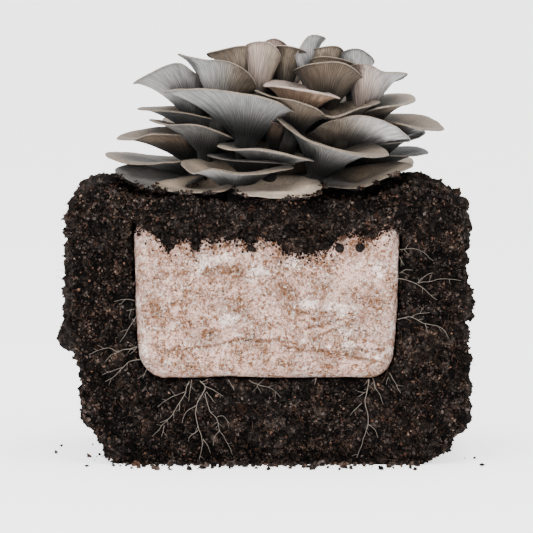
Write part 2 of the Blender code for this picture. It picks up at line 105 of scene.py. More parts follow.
# Colours of gills and caps, from silver to brown. They are partly the flesh's own colour
# and partly painted light and shade: dark tones such as soot and umber paint gills in shade.
TONES = {name: paint(code) for name, code in (
    ("silver", "A9AAA9"), ("grey", "8B8A89"), ("cream", "A39382"), ("rose", "B3A096"),
    ("tan", "86796A"), ("taupe", "75685A"), ("slate", "4E4B48"), ("brown", "5A4A3E"),
    ("umber", "35312E"), ("pearl", "D2D1D2"), ("sand", "C7B5A1"), ("ash", "979694"),
    ("lead", "656360"), ("dusk", "675B4F"), ("soot", "221F1D"), ("clay", "EBC3A5"),
    ("chalk", "EAE9EA"), ("pewter", "909190"))}


# ---- design rows


class Mushroom(NamedTuple):
    """One mushroom, in millimetres.

    throat: the middle of the top of its stem, where the gills begin.
    tones: of its gills at the left, its gills at the right, and its cap's top.
    rim: points around the cap's edge, which a smooth closed curve runs through: first the
    outer edge from left to right, and then the inner edge from right to left.
    """

    name: str
    throat: tuple
    tones: tuple
    rim: tuple
    stem: float = 6.0


# The mushrooms' rows: throat, tones, rim and, where it isn't the usual one, the stem's radius.
# The skirt's tops droop towards the soil.
SKIRT = (
    ((-60, -26, 214), ("soot", "umber", "slate"), (
        (-116, -30, 228), (-108, -46, 220), (-86, -62, 213), (-64, -60, 213),
        (-44, -26, 225), (-82, -4, 231))),
    ((-46, -48, 208), ("umber", "umber", "taupe"), (
        (-86, -60, 217), (-77, -71, 213), (-55, -78, 212), (-32, -75, 213),
        (-24, -46, 219), (-58, -34, 221))),
    ((-24, -50, 209), ("grey", "umber", "taupe"), (
        (-65, -62, 234), (-56, -78, 226), (-42, -85, 229), (-18, -88, 226), (10, -84, 229),
        (20, -66, 230), (-5, -38, 231), (-45, -38, 234))),
    ((8, -58, 209), ("umber", "umber", "cream"), (
        (-24, -70, 212), (-12, -89, 210), (12, -98, 209), (34, -90, 210),
        (42, -72, 216), (30, -44, 222), (-14, -46, 221))),
    ((70, -40, 211), ("soot", "soot", "taupe"), (
        (42, -62, 217), (50, -80, 216), (70, -82, 216), (88, -70, 221), (112, -46, 229),
        (100, -24, 231), (72, -24, 228), (50, -40, 223))),
)
LOWER = (
    ((-60, -8, 216), ("silver", "slate", "taupe"), (
        (-126, -5, 237), (-112, -36, 232), (-88, -50, 231), (-62, -42, 233),
        (-50, 8, 235), (-80, 32, 233), (-112, 24, 236))),
    ((-56, -18, 230), ("taupe", "brown", "taupe"), (
        (-116, -18, 249), (-105, -34, 249), (-88, -43, 254), (-62, -44, 254),
        (-50, -10, 255), (-82, 4, 256), (-106, 0, 253))),
    ((-47, -40, 239), ("lead", "slate", "taupe"), (
        (-90, -34, 265), (-78, -52, 262), (-55, -65, 262), (-36, -66, 257), (-25, -54, 251),
        (-34, -28, 253), (-70, -16, 260))),
    ((2, -48, 225), ("slate", "grey", "tan"), (
        (-37, -66, 247), (-26, -83, 244), (-6, -90, 245), (16, -88, 241), (36, -72, 235),
        (24, -44, 239), (-4, -36, 247), (-28, -44, 247))),
    ((-10, -38, 216), ("umber", "umber", "slate"), (
        (-45, -50, 239), (-26, -68, 236), (5, -72, 234), (22, -58, 232),
        (2, -30, 236), (-30, -26, 238))),
    ((40, -50, 224), ("lead", "grey", "taupe"), (
        (8, -62, 267), (24, -80, 255), (46, -90, 247), (66, -92, 242), (84, -84, 239),
        (94, -62, 241), (84, -38, 246), (50, -34, 252), (20, -42, 260)), 8.0),
    ((75, -8, 218), ("slate", "slate", "slate"), (
        (96, -38, 237), (116, -30, 237), (126, -8, 238), (118, 16, 241),
        (94, 24, 240), (62, 6, 238), (68, -28, 237))),
    ((84, -10, 230), ("slate", "slate", "slate"), (
        (92, -40, 246), (112, -36, 249), (123, -16, 254), (120, 6, 253),
        (102, 16, 250), (73, 6, 247), (70, -24, 245))),
)
MIDDLE = (
    ((-46, -22, 246), ("silver", "grey", "taupe"), (
        (-100, -12, 273), (-84, -34, 272), (-62, -46, 270), (-40, -46, 265),
        (-38, -14, 267), (-62, 2, 272), (-86, 10, 272))),
    ((-15, -50, 250), ("pewter", "grey", "tan"), (
        (-79, -46, 287), (-54, -74, 291), (-22, -87, 288), (4, -84, 282), (23, -64, 271),
        (12, -40, 270), (-24, -30, 279), (-60, -28, 284)), 9.0),
    ((6, -42, 240), ("brown", "brown", "brown"), (
        (-6, -54, 262), (4, -62, 264), (16, -54, 260), (14, -38, 260), (0, -36, 262)), 5.0),
    ((56, -34, 237), ("cream", "chalk", "taupe"), (
        (32, -46, 254), (48, -66, 264), (72, -71, 268), (96, -58, 262), (111, -36, 249),
        (98, -10, 248), (66, -8, 257), (40, -20, 255)), 7.0),
    ((82, -10, 243), ("cream", "silver", "taupe"), (
        (84, -36, 264), (104, -46, 262), (126, -40, 257), (137, -20, 257), (126, 8, 265),
        (98, 16, 266), (70, 4, 263), (68, -20, 263))),
    ((20, -50, 254), ("dusk", "dusk", "taupe"), (
        (-9, -56, 288), (4, -74, 284), (22, -82, 281), (38, -78, 275), (46, -60, 267),
        (34, -38, 271), (12, -34, 280))),
    ((58, -44, 255), ("cream", "taupe", "taupe"), (
        (42, -60, 270), (52, -74, 268), (72, -68, 274), (87, -46, 278),
        (70, -28, 278), (45, -30, 274))),
    ((78, -28, 257), ("taupe", "taupe", "tan"), (
        (70, -50, 269), (90, -56, 275), (108, -44, 277), (115, -24, 280), (110, -4, 283),
        (90, 6, 282), (64, -4, 277), (58, -28, 271))),
)
UPPER = (
    ((-54, -28, 263), ("ash", "grey", "tan"), (
        (-103, -22, 293), (-88, -42, 302), (-68, -52, 309), (-54, -46, 300),
        (-38, -16, 291), (-64, 2, 295), (-94, -6, 293))),
    ((-36, -40, 267), ("silver", "taupe", "taupe"), (
        (-68, -40, 315), (-50, -58, 312), (-26, -66, 308), (-11, -60, 298), (-7, -46, 286),
        (-14, -22, 291), (-46, -12, 302)), 7.0),
    ((24, -44, 265), ("clay", "clay", "rose"), (
        (-2, -52, 292), (8, -68, 292), (24, -76, 290), (42, -74, 287), (56, -58, 282),
        (42, -34, 287), (22, -24, 292), (4, -32, 295))),
    ((44, -30, 270), ("dusk", "dusk", "tan"), (
        (21, -34, 303), (38, -56, 309), (60, -58, 309), (75, -42, 297), (70, -20, 290),
        (46, -12, 293), (26, -18, 298)), 7.0),
    ((74, -34, 268), ("rose", "silver", "tan"), (
        (68, -44, 307), (80, -52, 307), (90, -46, 302), (109, -30, 300), (98, -8, 293),
        (78, 0, 294), (60, -18, 300))),
)
CROWN = (
    ((-34, -6, 264), ("brown", "brown", "taupe"), (
        (-66, -8, 297), (-52, -24, 299), (-34, -20, 300), (-30, 2, 296), (-48, 10, 292)), 5.0),
    ((-18, -16, 276), ("sand", "cream", "tan"), (
        (-46, -14, 315), (-34, -32, 319), (-16, -40, 322), (-6, -28, 318),
        (-12, 0, 310), (-36, 4, 309))),
    ((-9, -41, 276), ("rose", "cream", "rose"), (
        (-16, -38, 322), (-6, -48, 325), (4, -47, 323), (11, -36, 314), (8, -16, 306),
        (-6, -12, 308), (-16, -20, 313))),
    ((13, -16, 282), ("tan", "tan", "rose"), (
        (-2, -22, 318), (14, -35, 321), (29, -24, 317), (31, 0, 310), (14, 8, 307),
        (-4, -4, 312)), 5.0),
    ((32, -13, 294), ("pearl", "silver", "rose"), (
        (22, -26, 313), (33, -23, 328), (46, -14, 327), (42, 2, 321), (30, 6, 314),
        (18, -6, 311)), 5.0),
    ((4, -6, 288), ("rose", "rose", "rose"), (
        (-6, 4, 320), (6, -8, 326), (16, 0, 320), (16, 14, 314), (2, 18, 314)), 5.0),
    ((44, -17, 282), ("cream", "tan", "tan"), (
        (34, -12, 317), (44, -22, 320), (57, -18, 319), (60, -2, 311), (48, 10, 308),
        (34, 4, 311)), 5.0),
    ((48, -14, 278), ("sand", "cream", "tan"), (
        (34, -24, 310), (48, -34, 313), (70, -24, 307), (64, 0, 302), (40, 0, 305)), 5.0),
    ((67, -15, 279), ("silver", "silver", "tan"), (
        (55, -8, 311), (62, -17, 317), (74, -15, 317), (84, -2, 307), (72, 14, 301),
        (56, 10, 304)), 5.0),
)
# The hidden side: how far round, how far out and how high the cap's middle is, how much the cap
# is lifted in degrees, its half width and half length, and its wave.
BACK = (
    (164, 86, 226, 0, (40, 34), 3), (118, 74, 222, -4, (42, 34), 3),
    (66, 76, 224, -3, (42, 34), -3), (20, 84, 226, 2, (38, 34), 3),
    (142, 66, 254, 12, (38, 32), -3), (92, 58, 250, 14, (40, 30), 3),
    (42, 64, 254, 12, (38, 32), 3), (166, 56, 284, 32, (32, 27), 3),
    (116, 44, 284, 38, (32, 27), -3), (64, 44, 282, 38, (32, 27), 3),
    (14, 58, 282, 30, (30, 27), 3), (92, 18, 300, 60, (26, 22), 3),
)
BACK_TONES = (("cream", "taupe", "tan"), ("silver", "taupe", "tan"), ("taupe", "grey", "taupe"))
BACK_AXIS = (3, 12)


def fan(tones, azimuth, reach, height, lift, size, wave):
    """The row of a mushroom of the hidden side: a plain fan that grows out to this azimuth."""
    turn, rise = math.radians(azimuth), math.radians(lift)
    out = Vector((math.cos(turn) * math.cos(rise), math.sin(turn) * math.cos(rise), math.sin(rise)))
    side = Vector((-math.sin(turn), math.cos(turn), 0))
    up = out.cross(side)
    middle = Vector((
        BACK_AXIS[0] + reach * math.cos(turn), BACK_AXIS[1] + reach * math.sin(turn), height))
    rim = []
    for angle in (2 * math.pi * i / 7 for i in range(7)):
        place = middle + out * size[1] * math.cos(angle) + side * size[0] * math.sin(angle)
        rim.append(tuple(place + up * wave * math.sin(2 * angle + azimuth)))
    throat = middle - out * size[1] * 0.6 - up * 0.6 * size[1]
    return tuple(throat), tones, tuple(rim)


MUSHROOMS = tuple(
    Mushroom(f"{tier}_mushroom_{number}", *row)
    for tier, rows in {
        "skirt": SKIRT, "lower": LOWER, "middle": MIDDLE, "upper": UPPER, "crown": CROWN,
        "back": [fan(BACK_TONES[k % 3], *row) for k, row in enumerate(BACK)],
    }.items()
    for number, row in enumerate(rows, 1))
# Caps whose top is darkened towards one end by painted shade: how dark, and on which side.
PAINTED_SHADE_ENDS = {"skirt_mushroom_5": (0.08, -1), "skirt_mushroom_1": (0.35, 1)}
# Caps that touch the soil, with grains along their edges.
SOILED = ("skirt_mushroom_1", "skirt_mushroom_2", "skirt_mushroom_4", "skirt_mushroom_5")


class Strand(NamedTuple):
    """A mycelium strand on the soil's cut front, with its branches: millimetres across and up."""

    name: str
    radius: float
    route: tuple
    branches: tuple = ()


STRANDS = (
    Strand("strand_1", 1.1, ((-60, 65), (-62, 57), (-67, 48), (-75, 36), (-83, 27), (-88, 22)), (
        ((-62, 57), (-73, 53), (-84, 45)), ((-75, 36), (-82, 33)), ((-67, 48), (-67, 41)),
        ((-79, 31), (-81, 22)), ((-58, 66), (-59, 58), (-60, 49)))),
    Strand("strand_2", 1.7, (
        (-51, 65), (-47, 60), (-49, 55), (-53, 48), (-54, 36), (-52, 27), (-49, 20), (-50, 12),
        (-52, 4)), (
        ((-54, 46), (-62, 40), (-65, 32)), ((-53, 27), (-59, 22), (-60, 18)),
        ((-49, 20), (-46, 16), (-43, 9)), ((-47, 61), (-40, 58), (-33, 53)),
        ((-46, 57), (-43, 53), (-39, 48)), ((-29, 66), (-25, 58)))),
    Strand("strand_3", 1.2, (
        (-47, 56), (-46, 49), (-43, 41), (-38, 36), (-36, 27), (-31, 20), (-28, 14), (-26, 8)), (
        ((-38, 37), (-33, 38), (-28, 32)), ((-36, 27), (-40, 22), (-41, 15)))),
    Strand("strand_4", 1.4, (
        (79, 66), (77, 56), (76, 47), (78, 39), (78, 32), (75, 22), (72, 12), (70, 5)), (
        ((81, 67), (84, 59), (88, 53), (90, 47)), ((73, 48), (68, 43), (64, 38)),
        ((76, 56), (70, 53)), ((78, 32), (84, 27), (86, 21)), ((94, 71), (100, 62), (103, 56)),
        ((94, 68), (92, 62)), ((38, 67), (37, 62)))),
    Strand("strand_5", 0.9, ((-97, 82), (-105, 80), (-111, 75), (-118, 68), (-124, 64)), (
        ((-110, 76), (-118, 73), (-126, 69)), ((-99, 92), (-102, 88), (-105, 85)),
        ((-92, 75), (-95, 67)))),
    Strand("strand_6", 0.9, ((-99, 92), (-113, 88), (-122, 90), (-136, 86)), (
        ((-113, 88), (-119, 85), (-124, 80)), ((-100, 115), (-106, 105), (-113, 95)),
        ((-101, 121), (-107, 119)), ((-101, 127), (-109, 128), (-117, 127)))),
    Strand("strand_7", 0.9, ((101, 144), (112, 141), (122, 135), (131, 128)), (
        ((116, 140), (126, 142), (136, 144), (149, 142)), ((116, 141), (119, 145), (128, 149)),
        ((102, 166), (114, 167), (122, 163), (128, 158)), ((102, 161), (106, 155)),
        ((102, 148), (106, 151), (112, 151)))),
    Strand("strand_8", 0.9, ((101, 113), (111, 114), (121, 110), (134, 106), (140, 98)), (
        ((111, 114), (118, 117), (125, 118)), ((122, 109), (124, 101)))),
    Strand("strand_9", 0.8, ((-13, 66), (-6, 62), (4, 60), (11, 52)), (((-7, 62), (-4, 55)),)),
)

# Lower edge of the soil that has fallen over the block's front: millimetres across and up.
FRINGE = (
    (-101, 188), (-93, 184), (-86, 181), (-80, 173), (-74, 167), (-69, 176), (-62, 178), (-57, 172),
    (-53, 168), (-49, 176), (-38, 175), (-30, 178), (-20, 175), (-12, 171), (-6, 177), (6, 176),
    (12, 167), (24, 164), (36, 166), (48, 169), (54, 178), (66, 181), (74, 177), (82, 178),
    (90, 183), (101, 184))
# Single lumps and chips of bark on the block's front: millimetres across, up and radius.
PELLETS = (
    (46, 168.5, 2.6), (56, 167.5, 3.6), (71.5, 168, 3.4), (79, 179, 2.8), (-55, 168.5, 2.6),
    (-12, 167.5, 2.4), (-9.5, 166.5, 1.8), (-98, 178, 1.4), (64, 176, 1.2), (90, 170, 0.8))
CHIPS = ((59, 176, 3.6), (79, 173.5, 3.0))
# Folds pressed into the block's skin: millimetres across and up.
CREASES = (
    ((-78, 89), (-60, 90), (-40, 93), (-20, 97), (4, 95)),
    ((-20, 97), (10, 97), (36, 91), (60, 85), (92, 79)),
    ((-48, 166), (-40, 168), (-28, 170)),
    ((30, 106), (50, 111), (62, 113)),
    ((36, 97), (52, 105), (68, 113)),
    ((66, 90), (80, 88), (96, 90)),
    ((14, 92), (30, 89), (48, 90)),
)
# Stained places on the block's face: millimetres across, up, half width and half height.
STAINS = (
    (-36, 151, 9, 6), (-21, 150, 3, 9), (-46, 148, 5, 4), (-42, 100, 8, 5), (22, 120, 6, 5),
    (12, 134, 8, 5), (66, 86, 8, 5), (-84, 120, 5, 8), (38, 96, 6, 4), (-20, 119, 8, 8))
# Places where the mycelium has grown thick and white.
GROWTHS = (
    (-50, 156, 12, 6), (-31, 161, 9, 4), (54, 121, 9, 6), (30, 124, 10, 4), (-26, 113, 10, 6),
    (62, 104, 9, 5), (86, 150, 7, 7), (64, 93, 5, 4), (88, 82, 5, 4), (-8, 150, 9, 7),
    (20, 156, 10, 5))


# ---- user settings


def length(name, description, default):
    return bpy.props.FloatProperty(
        name=name, description=description, default=default, min=0, precision=5, unit="LENGTH")


def number(name, description, default):
    return bpy.props.IntProperty(name=name, description=description, default=default, min=0)


def strength(name, description, default):
    return bpy.props.FloatProperty(name=name, description=description, default=default, min=0)


def colour(name, description, default):
    return bpy.props.FloatVectorProperty(
        name=name, description=description, default=default, size=3, min=0, max=1, subtype="COLOR")


class GROWKIT_PG_mushrooms(bpy.types.PropertyGroup):
    gill_spacing: length("Gill spacing", "Distance between two gills at the cap's edge", 1.9 * MM)
    gill_depth: length("Gill depth", "How far the gills stand out of the underside", 0.9 * MM)
    margin: length("Margin", "Thickness of the cap at its edge", 0.85 * MM)
    ripple: length("Ripple", "How far the cap's edge waves up and down", 2.0 * MM)
    roll: length("Roll", "How far the cap's edge rolls down", 1.5 * MM)
    stem_colour: colour("Stem colour", "Colour of the stems below the gills", paint("6E6B68"))
    edge_colour: colour("Edge colour", "Colour of the thin edge of the cap", paint("A5978B"))


class GROWKIT_PG_block(bpy.types.PropertyGroup):
    corner: length("Corner", "Radius of the block's lower corners seen from the front", 19 * MM)
    edge: length("Edge", "Radius of the edges round the block's front and back", 9 * MM)
    crease: length("Crease", "Depth of the folds in the block's skin", 0.7 * MM)
    mycelium: colour("Mycelium", "Colour of the grown-over surface", paint("C6A194"))
    thick: colour("Thick mycelium", "Colour where the mycelium is thickest", paint("F8E9E1"))
    sawdust: colour("Sawdust", "Colour of the brown flecks", paint("6E4526"))
    bark: colour("Bark", "Colour of the darkest flecks", paint("33261E"))


class GROWKIT_PG_soil(bpy.types.PropertyGroup):
    grain: length("Grain", "Typical radius of a crumb of soil", 0.85 * MM)
    rough: length("Roughness", "How far the soil's surface rises and falls", 3.4 * MM)
    front_crumbs: number("Front crumbs", "Number of crumbs on the cut front", 15000)
    other_crumbs: number("Other crumbs", "Number of crumbs on the other sides", 11000)
    fibres: number("Fibres", "Number of root and bark fibres", 1300)
    dark: colour("Dark soil", "Colour of most of the soil", paint("312B28"))
    brown: colour("Brown soil", "Colour of the drier crumbs", paint("4C3C33"))
    chip: colour("Chips", "Colour of bark chips and fibres", paint("6A4D3F"))


class GROWKIT_PG_strands(bpy.types.PropertyGroup):
    thickness: strength("Thickness", "Thickness of the strands against the design", 0.17)
    pale: colour("Pale", "Colour of the strands", paint("6C635B"))
    stained: colour("Stained", "Colour where soil clings to the strands", paint("463C35"))


class GROWKIT_PG_stage(bpy.types.PropertyGroup):
    floor: colour("Floor", "Colour of the studio floor", (0.93, 0.93, 0.93))
    glow: strength("Glow", "How much light the floor gives off", 1.7)
    surround: strength("Surround", "Strength of the light from all around", 1.9)
    elevation: bpy.props.FloatProperty(
        name="Elevation", description="How far the camera looks down", default=math.radians(5),
        unit="ROTATION")
    distance: length("Distance", "Distance of the camera from the cut front", 3.0)
    view_width: length("View width", "Width of what the camera sees at the cut front", 0.4083)


# ---- shader building


class Value:
    """A socket of a finish, with arithmetic on numbers as Math nodes."""

    def __init__(self, finish, socket):
        self.finish, self.socket = finish, socket

    def __add__(self, other):
        return self.finish.math("ADD", self, other)

    def __sub__(self, other):
        return self.finish.math("SUBTRACT", self, other)

    def __rsub__(self, other):
        return self.finish.math("SUBTRACT", other, self)

    def __mul__(self, other):
        return self.finish.math("MULTIPLY", self, other)

    __radd__ = __add__
    __rmul__ = __mul__


class Finish:
    """A material, built up node by node."""

    def __init__(self, name, roughness, specular=0.5):
        self.material = bpy.data.materials.new(name)
        self.material.use_nodes = True
        self.tree = self.material.node_tree
        self.shader = self.tree.nodes["Principled BSDF"]
        self.shader.inputs["Roughness"].default_value = roughness
        self.shader.inputs["Specular IOR Level"].default_value = specular

    def feed(self, socket, value):
        if isinstance(value, Value):
            self.tree.links.new(value.socket, socket)
        elif socket.type == "RGBA":
            socket.default_value = (*value, 1.0)
        else:
            socket.default_value = value

    def node(self, kind, settings, inputs, output=0):
        """Adds a node: its settings first, then what its sockets hold or are linked to."""
        made = self.tree.nodes.new("ShaderNode" + kind)
        for key, value in settings.items():
            setattr(made, key, value)
        for key, value in inputs.items():
            self.feed(made.inputs[key], value)
        return Value(self, made.outputs[output])

    def math(self, operation, *values):
        return self.node("Math", {"operation": operation}, dict(enumerate(values)))

    def here(self):
        return self.node("TexCoord", {}, {}, "Object")

    def point(self, name, output="Fac"):
        """What the mesh holds at its points under this name."""
        return self.node("Attribute", {"attribute_name": name}, {}, output)

    def stretched(self, vector, factors):
        return self.node("VectorMath", {"operation": "MULTIPLY"}, {0: vector, 1: factors})

    def moved(self, vector, offset):
        return self.node("VectorMath", {"operation": "ADD"}, {0: vector, 1: offset})

    def noise(self, vector, scale, detail=2.0, roughness=0.5):
        inputs = {"Vector": vector, "Scale": scale, "Detail": detail, "Roughness": roughness}
        return self.node("TexNoise", {}, inputs)

    def step(self, value, low, high, to_low=0.0, to_high=1.0):
        """Eases from to_low to to_high as the value goes from low to high."""
        inputs = {"Value": value, 1: low, 2: high, 3: to_low, 4: to_high}
        return self.node("MapRange", {"interpolation_type": "SMOOTHSTEP"}, inputs)

    def mix(self, factor, a, b, blend="MIX"):
        settings = {"data_type": "RGBA", "blend_type": blend}
        return self.node("Mix", settings, {0: factor, 6: a, 7: b}, 2)

    def shaded(self, tint, value):
        """The colour made brighter or darker by a number."""
        return self.node("VectorMath", {"operation": "SCALE"}, {0: tint, "Scale": value})

    def bump(self, height, distance, strength=1.0):
        inputs = {"Height": height, "Distance": distance, "Strength": strength}
        return self.node("Bump", {}, inputs)

    def set(self, **sockets):
        names = {"colour": "Base Color", "roughness": "Roughness", "normal": "Normal"}
        for key, value in sockets.items():
            self.feed(self.shader.inputs[names[key]], value)
        return self.material


def flesh_finish():
    """Mushroom flesh: gills run from stem to edge, and fine fibres and blotches cover the caps."""
    f = Finish("mushroom_flesh", 0.5, 0.18)
    f.shader.inputs["Sheen Weight"].default_value = 0.05
    f.shader.inputs["Sheen Roughness"].default_value = 0.5
    tint, grain = f.point("tint", "Color"), f.point("grain", "Vector")
    gill, ridge = f.point("gill"), f.point("ridge")
    streaks = f.noise(f.stretched(grain, (1.0, 1.0, 2.0)), 1.0, 3.0, 0.6)
    folds = f.noise(f.stretched(grain, (0.3, 0.3, 1.2)), 1.0, 3.0, 0.6)
    fibres = f.noise(f.stretched(grain, (0.9, 0.9, 6.0)), 1.0, 4.0, 0.7)
    blotches = f.noise(f.here(), 60.0, 4.0, 0.6)
    specks = f.noise(f.here(), 1100.0, 2.0, 0.6)
    # Painted shade: the valleys between the gills are darker than their ridges.
    on_gills = f.step(streaks, 0.32, 0.68, 0.68, 1.18) * f.step(ridge, 0.0, 0.9, 0.6, 1.06)
    on_gills = on_gills * f.step(folds, 0.3, 0.7, 0.86, 1.1)
    on_cap = f.step(fibres, 0.32, 0.68, 0.76, 1.2) * f.step(specks, 0.3, 0.7, 0.76, 1.2)
    light = gill * on_gills + (1 - gill) * on_cap * f.step(folds, 0.3, 0.7, 0.93, 1.06)
    # The blotches lighten, darken and warm the flesh: partly its own uneven colour, partly painted
    # sheen.
    light = light * f.step(blotches, 0.25, 0.75, 0.86, 1.12)
    warmer = f.mix(1.0, tint, (1.0, 0.92, 0.84), "MULTIPLY")
    warm = f.mix(f.step(blotches, 0.42, 0.72, 0.0, 0.6), tint, warmer)
    height = gill * streaks + (1 - gill) * (fibres * 0.7 + specks * 0.5)
    return f.set(
        colour=f.shaded(warm, light),
        roughness=f.step(fibres, 0.2, 0.8, 0.42, 0.62),
        normal=f.bump(height, 0.0008, 0.6))


def soil_finish():
    """Damp soil: dark grains with drier brown specks and a little wet gloss."""
    f = Finish("damp_soil", 0.85, 0.04)
    p, tint = f.here(), f.point("tint", "Color")
    grains = f.noise(p, 1000.0, 4.0, 0.75)
    clods = f.noise(p, 300.0, 4.0, 0.65)
    flecks = f.step(f.noise(f.moved(p, (3.1, 1.7, 4.2)), 700.0, 2.0, 0.6), 0.6, 0.7)
    light = f.step(grains, 0.3, 0.72, 0.1, 2.4) * f.step(clods, 0.32, 0.68, 0.3, 1.7)
    brown = f.mix(1.0, f.shaded(tint, 2.6), paint("B08C78"), "MULTIPLY")
    return f.set(
        colour=f.mix(flecks * 0.7, f.shaded(tint, light), brown),
        roughness=f.step(clods, 0.3, 0.7, 0.72, 0.95),
        normal=f.bump(grains + clods, 0.0016, 0.9))


def block_finish(settings):
    """Sawdust grown through with mycelium: pinkish white, thick with brown and dark flecks."""
    f = Finish("grown_sawdust", 0.75, 0.15)
    p = f.here()
    tint = f.point("tint", "Color")
    # The stain value also holds painted shade in the block's folds, and the growth value painted
    # light on the lip above each fold.
    stain, growth = f.point("stain"), f.point("growth")
    waver = f.shaded(f.node("TexNoise", {}, {"Vector": p, "Scale": 700.0}, "Color"), 0.0005)
    bent = f.node("VectorMath", {"operation": "ADD"}, {0: p, 1: waver})
    cloud = f.noise(p, 44.0, 5.0, 0.65)
    fine_cloud = f.noise(f.moved(p, (1.3, 2.9, 0.4)), 150.0, 3.0, 0.65)
    busy = f.step(cloud * 0.5 + fine_cloud * 0.5, 0.42, 0.6) * 1.4 + stain * 0.8 - growth * 0.7

    def specks(number, scale, least, soft):
        """Ragged specks, more of them where it is busy."""
        place = f.moved(bent, (0.37 * number, 0.11 * number, 0.23 * number))
        return f.step(f.noise(place, scale, 3.0, 0.75) + busy * 0.055, least, least + soft)

    tan = specks(1, 420.0, 0.545, 0.05)
    brown = specks(2, 430.0, 0.588, 0.014)
    small = specks(3, 900.0, 0.57, 0.022)
    bark = specks(4, 520.0, 0.628, 0.014)
    bloom = f.noise(f.moved(p, (2.2, 8.1, 5.0)), 110.0, 6.0, 0.8)
    white = f.step(bloom + growth * 0.18, 0.52, 0.66)
    wisps = f.noise(f.moved(bent, (6.0, 1.0, 3.0)), 420.0, 4.0, 0.8)
    wisp = f.step(wisps, 0.53, 0.64) * f.step(fine_cloud, 0.36, 0.6)
    threads = f.noise(f.moved(bent, (1.0, 4.0, 2.0)), 190.0, 1.0)
    thread = f.step(f.math("ABSOLUTE", threads - 0.5), 0.004, 0.012, 1.0, 0.0)
    thread = thread * f.step(cloud, 0.45, 0.6)
    patches = f.noise(f.moved(p, (4.0, 2.0, 7.0)), 42.0, 5.0, 0.65)
    thick = tuple(settings.thick)
    colour = tint
    for share, layer in (
        (f.step(busy, 0.2, 1.4, 0.0, 0.75), paint("9B7866")),
        (f.step(patches, 0.44, 0.58, 0.0, 0.65), paint("86706A")),
        (stain * 0.85, paint("604F46")),
        (white * 0.5, thick),
        (tan * 0.55, paint("8C5E3C")),
        (small * 0.75, paint("7A4E32")),
        (brown * 0.92, tuple(settings.sawdust)),
        (bark * 0.75, tuple(settings.bark)),
        (wisp * 0.65, thick),
        (thread * 0.5, thick),
    ):
        colour = f.mix(share, colour, layer)
    height = fine_cloud * 0.9 + thread * 0.25 + white * 0.3 - (brown + tan + bark) * 0.35
    height = height + f.noise(p, 1300.0, 3.0) * 0.35
    return f.set(
        colour=colour,
        roughness=f.step(cloud, 0.3, 0.7, 0.62, 0.85),
        normal=f.bump(height, 0.0012, 0.9))


def strand_finish(settings):
    """Pale mycelium strands with soil clinging to them."""
    f = Finish("mycelium_strand", 0.7, 0.2)
    p = f.here()
    clinging = f.step(f.noise(p, 240.0, 4.0, 0.7), 0.46, 0.66)
    threads = f.noise(f.stretched(p, (1.0, 1.0, 0.25)), 1600.0, 3.0, 0.6)
    pale = f.mix(0.0, tuple(settings.pale), (0, 0, 0))
    pale = f.shaded(pale, f.step(threads, 0.3, 0.7, 0.8, 1.15))
    return f.set(
        colour=f.mix(clinging * 0.75, pale, tuple(settings.stained)),
        roughness=f.step(threads, 0.3, 0.7, 0.55, 0.8),
        normal=f.bump(threads, 0.0004, 0.7))


def floor_finish(settings):
    """Matt pale paper that glows faintly."""
    f = Finish("studio_floor", 0.9, 0.1)
    fibre = f.noise(f.here(), 300.0, 4.0, 0.7)
    pale = tuple(settings.floor)
    f.shader.inputs["Emission Color"].default_value = (*pale, 1)
    f.shader.inputs["Emission Strength"].default_value = settings.glow
    return f.set(
        colour=f.mix(f.step(fibre, 0.2, 0.8), tuple(0.985 * c for c in pale), pale),
        roughness=f.step(fibre, 0.2, 0.8, 0.86, 0.94))


# ---- mesh building


CELL_FACTORS = (374761393, 668265263, 1103515245)  # large odd numbers that scatter the cells


def smooth_noise(places, seed=0):
    """Smooth random numbers from -1 to 1, about one wave a unit, at an array of places."""
    cell = np.floor(places).astype(np.int64)
    part = places - cell
    part = part * part * (3 - 2 * part)
    total = np.zeros(len(places))
    for corner in range(8):
        step = np.array([corner >> k & 1 for k in range(3)])
        key = ((cell + step) * CELL_FACTORS).sum(1) + seed * 144665 & 0xFFFFFFFF
        key = (key ^ key >> 13) * 1274126177 & 0xFFFFFFFF
        key ^= key >> 16
        total += np.where(step, part, 1 - part).prod(1) * ((key & 0xFFFF) / 32767.5 - 1)
    return total


def rough_noise(places, octaves, seed=0):
    """Noise with ever finer and weaker waves added."""
    return sum(smooth_noise(places * 2**k + 7.7 * k, seed + k) / 2**k for k in range(octaves))


def loop_noise(share, waves, seed):
    """Smooth random numbers round a loop, with about this many waves in it."""
    radius = waves / (2 * math.pi)
    turn = share * 2 * math.pi
    places = np.stack([np.cos(turn) * radius, np.sin(turn) * radius, np.full(len(share), 0.5)], 1)
    return smooth_noise(places + 31.0, seed)


def ease(value, low, high):
    """0 below low, 1 above high, and smooth in between."""
    t = np.clip((value - low) / (high - low), 0, 1)
    return t * t * (3 - 2 * t)


def unit(vectors):
    return vectors / np.maximum(np.linalg.norm(vectors, axis=-1, keepdims=True), 1e-12)


def bridge(first, second):
    """Triangles between two rings of point numbers, one of which may have more points."""
    if len(first) < len(second):
        return bridge(second, first)[:, ::-1]
    n, m = len(first), len(second)
    i, j = np.arange(n), np.arange(m)
    near = np.stack([first, first[(i + 1) % n], second[i * m // n]], 1)
    far = np.stack([second, first[(j + 1) * (n // m) % n], second[(j + 1) % m]], 1)
    return np.concatenate([near, far])


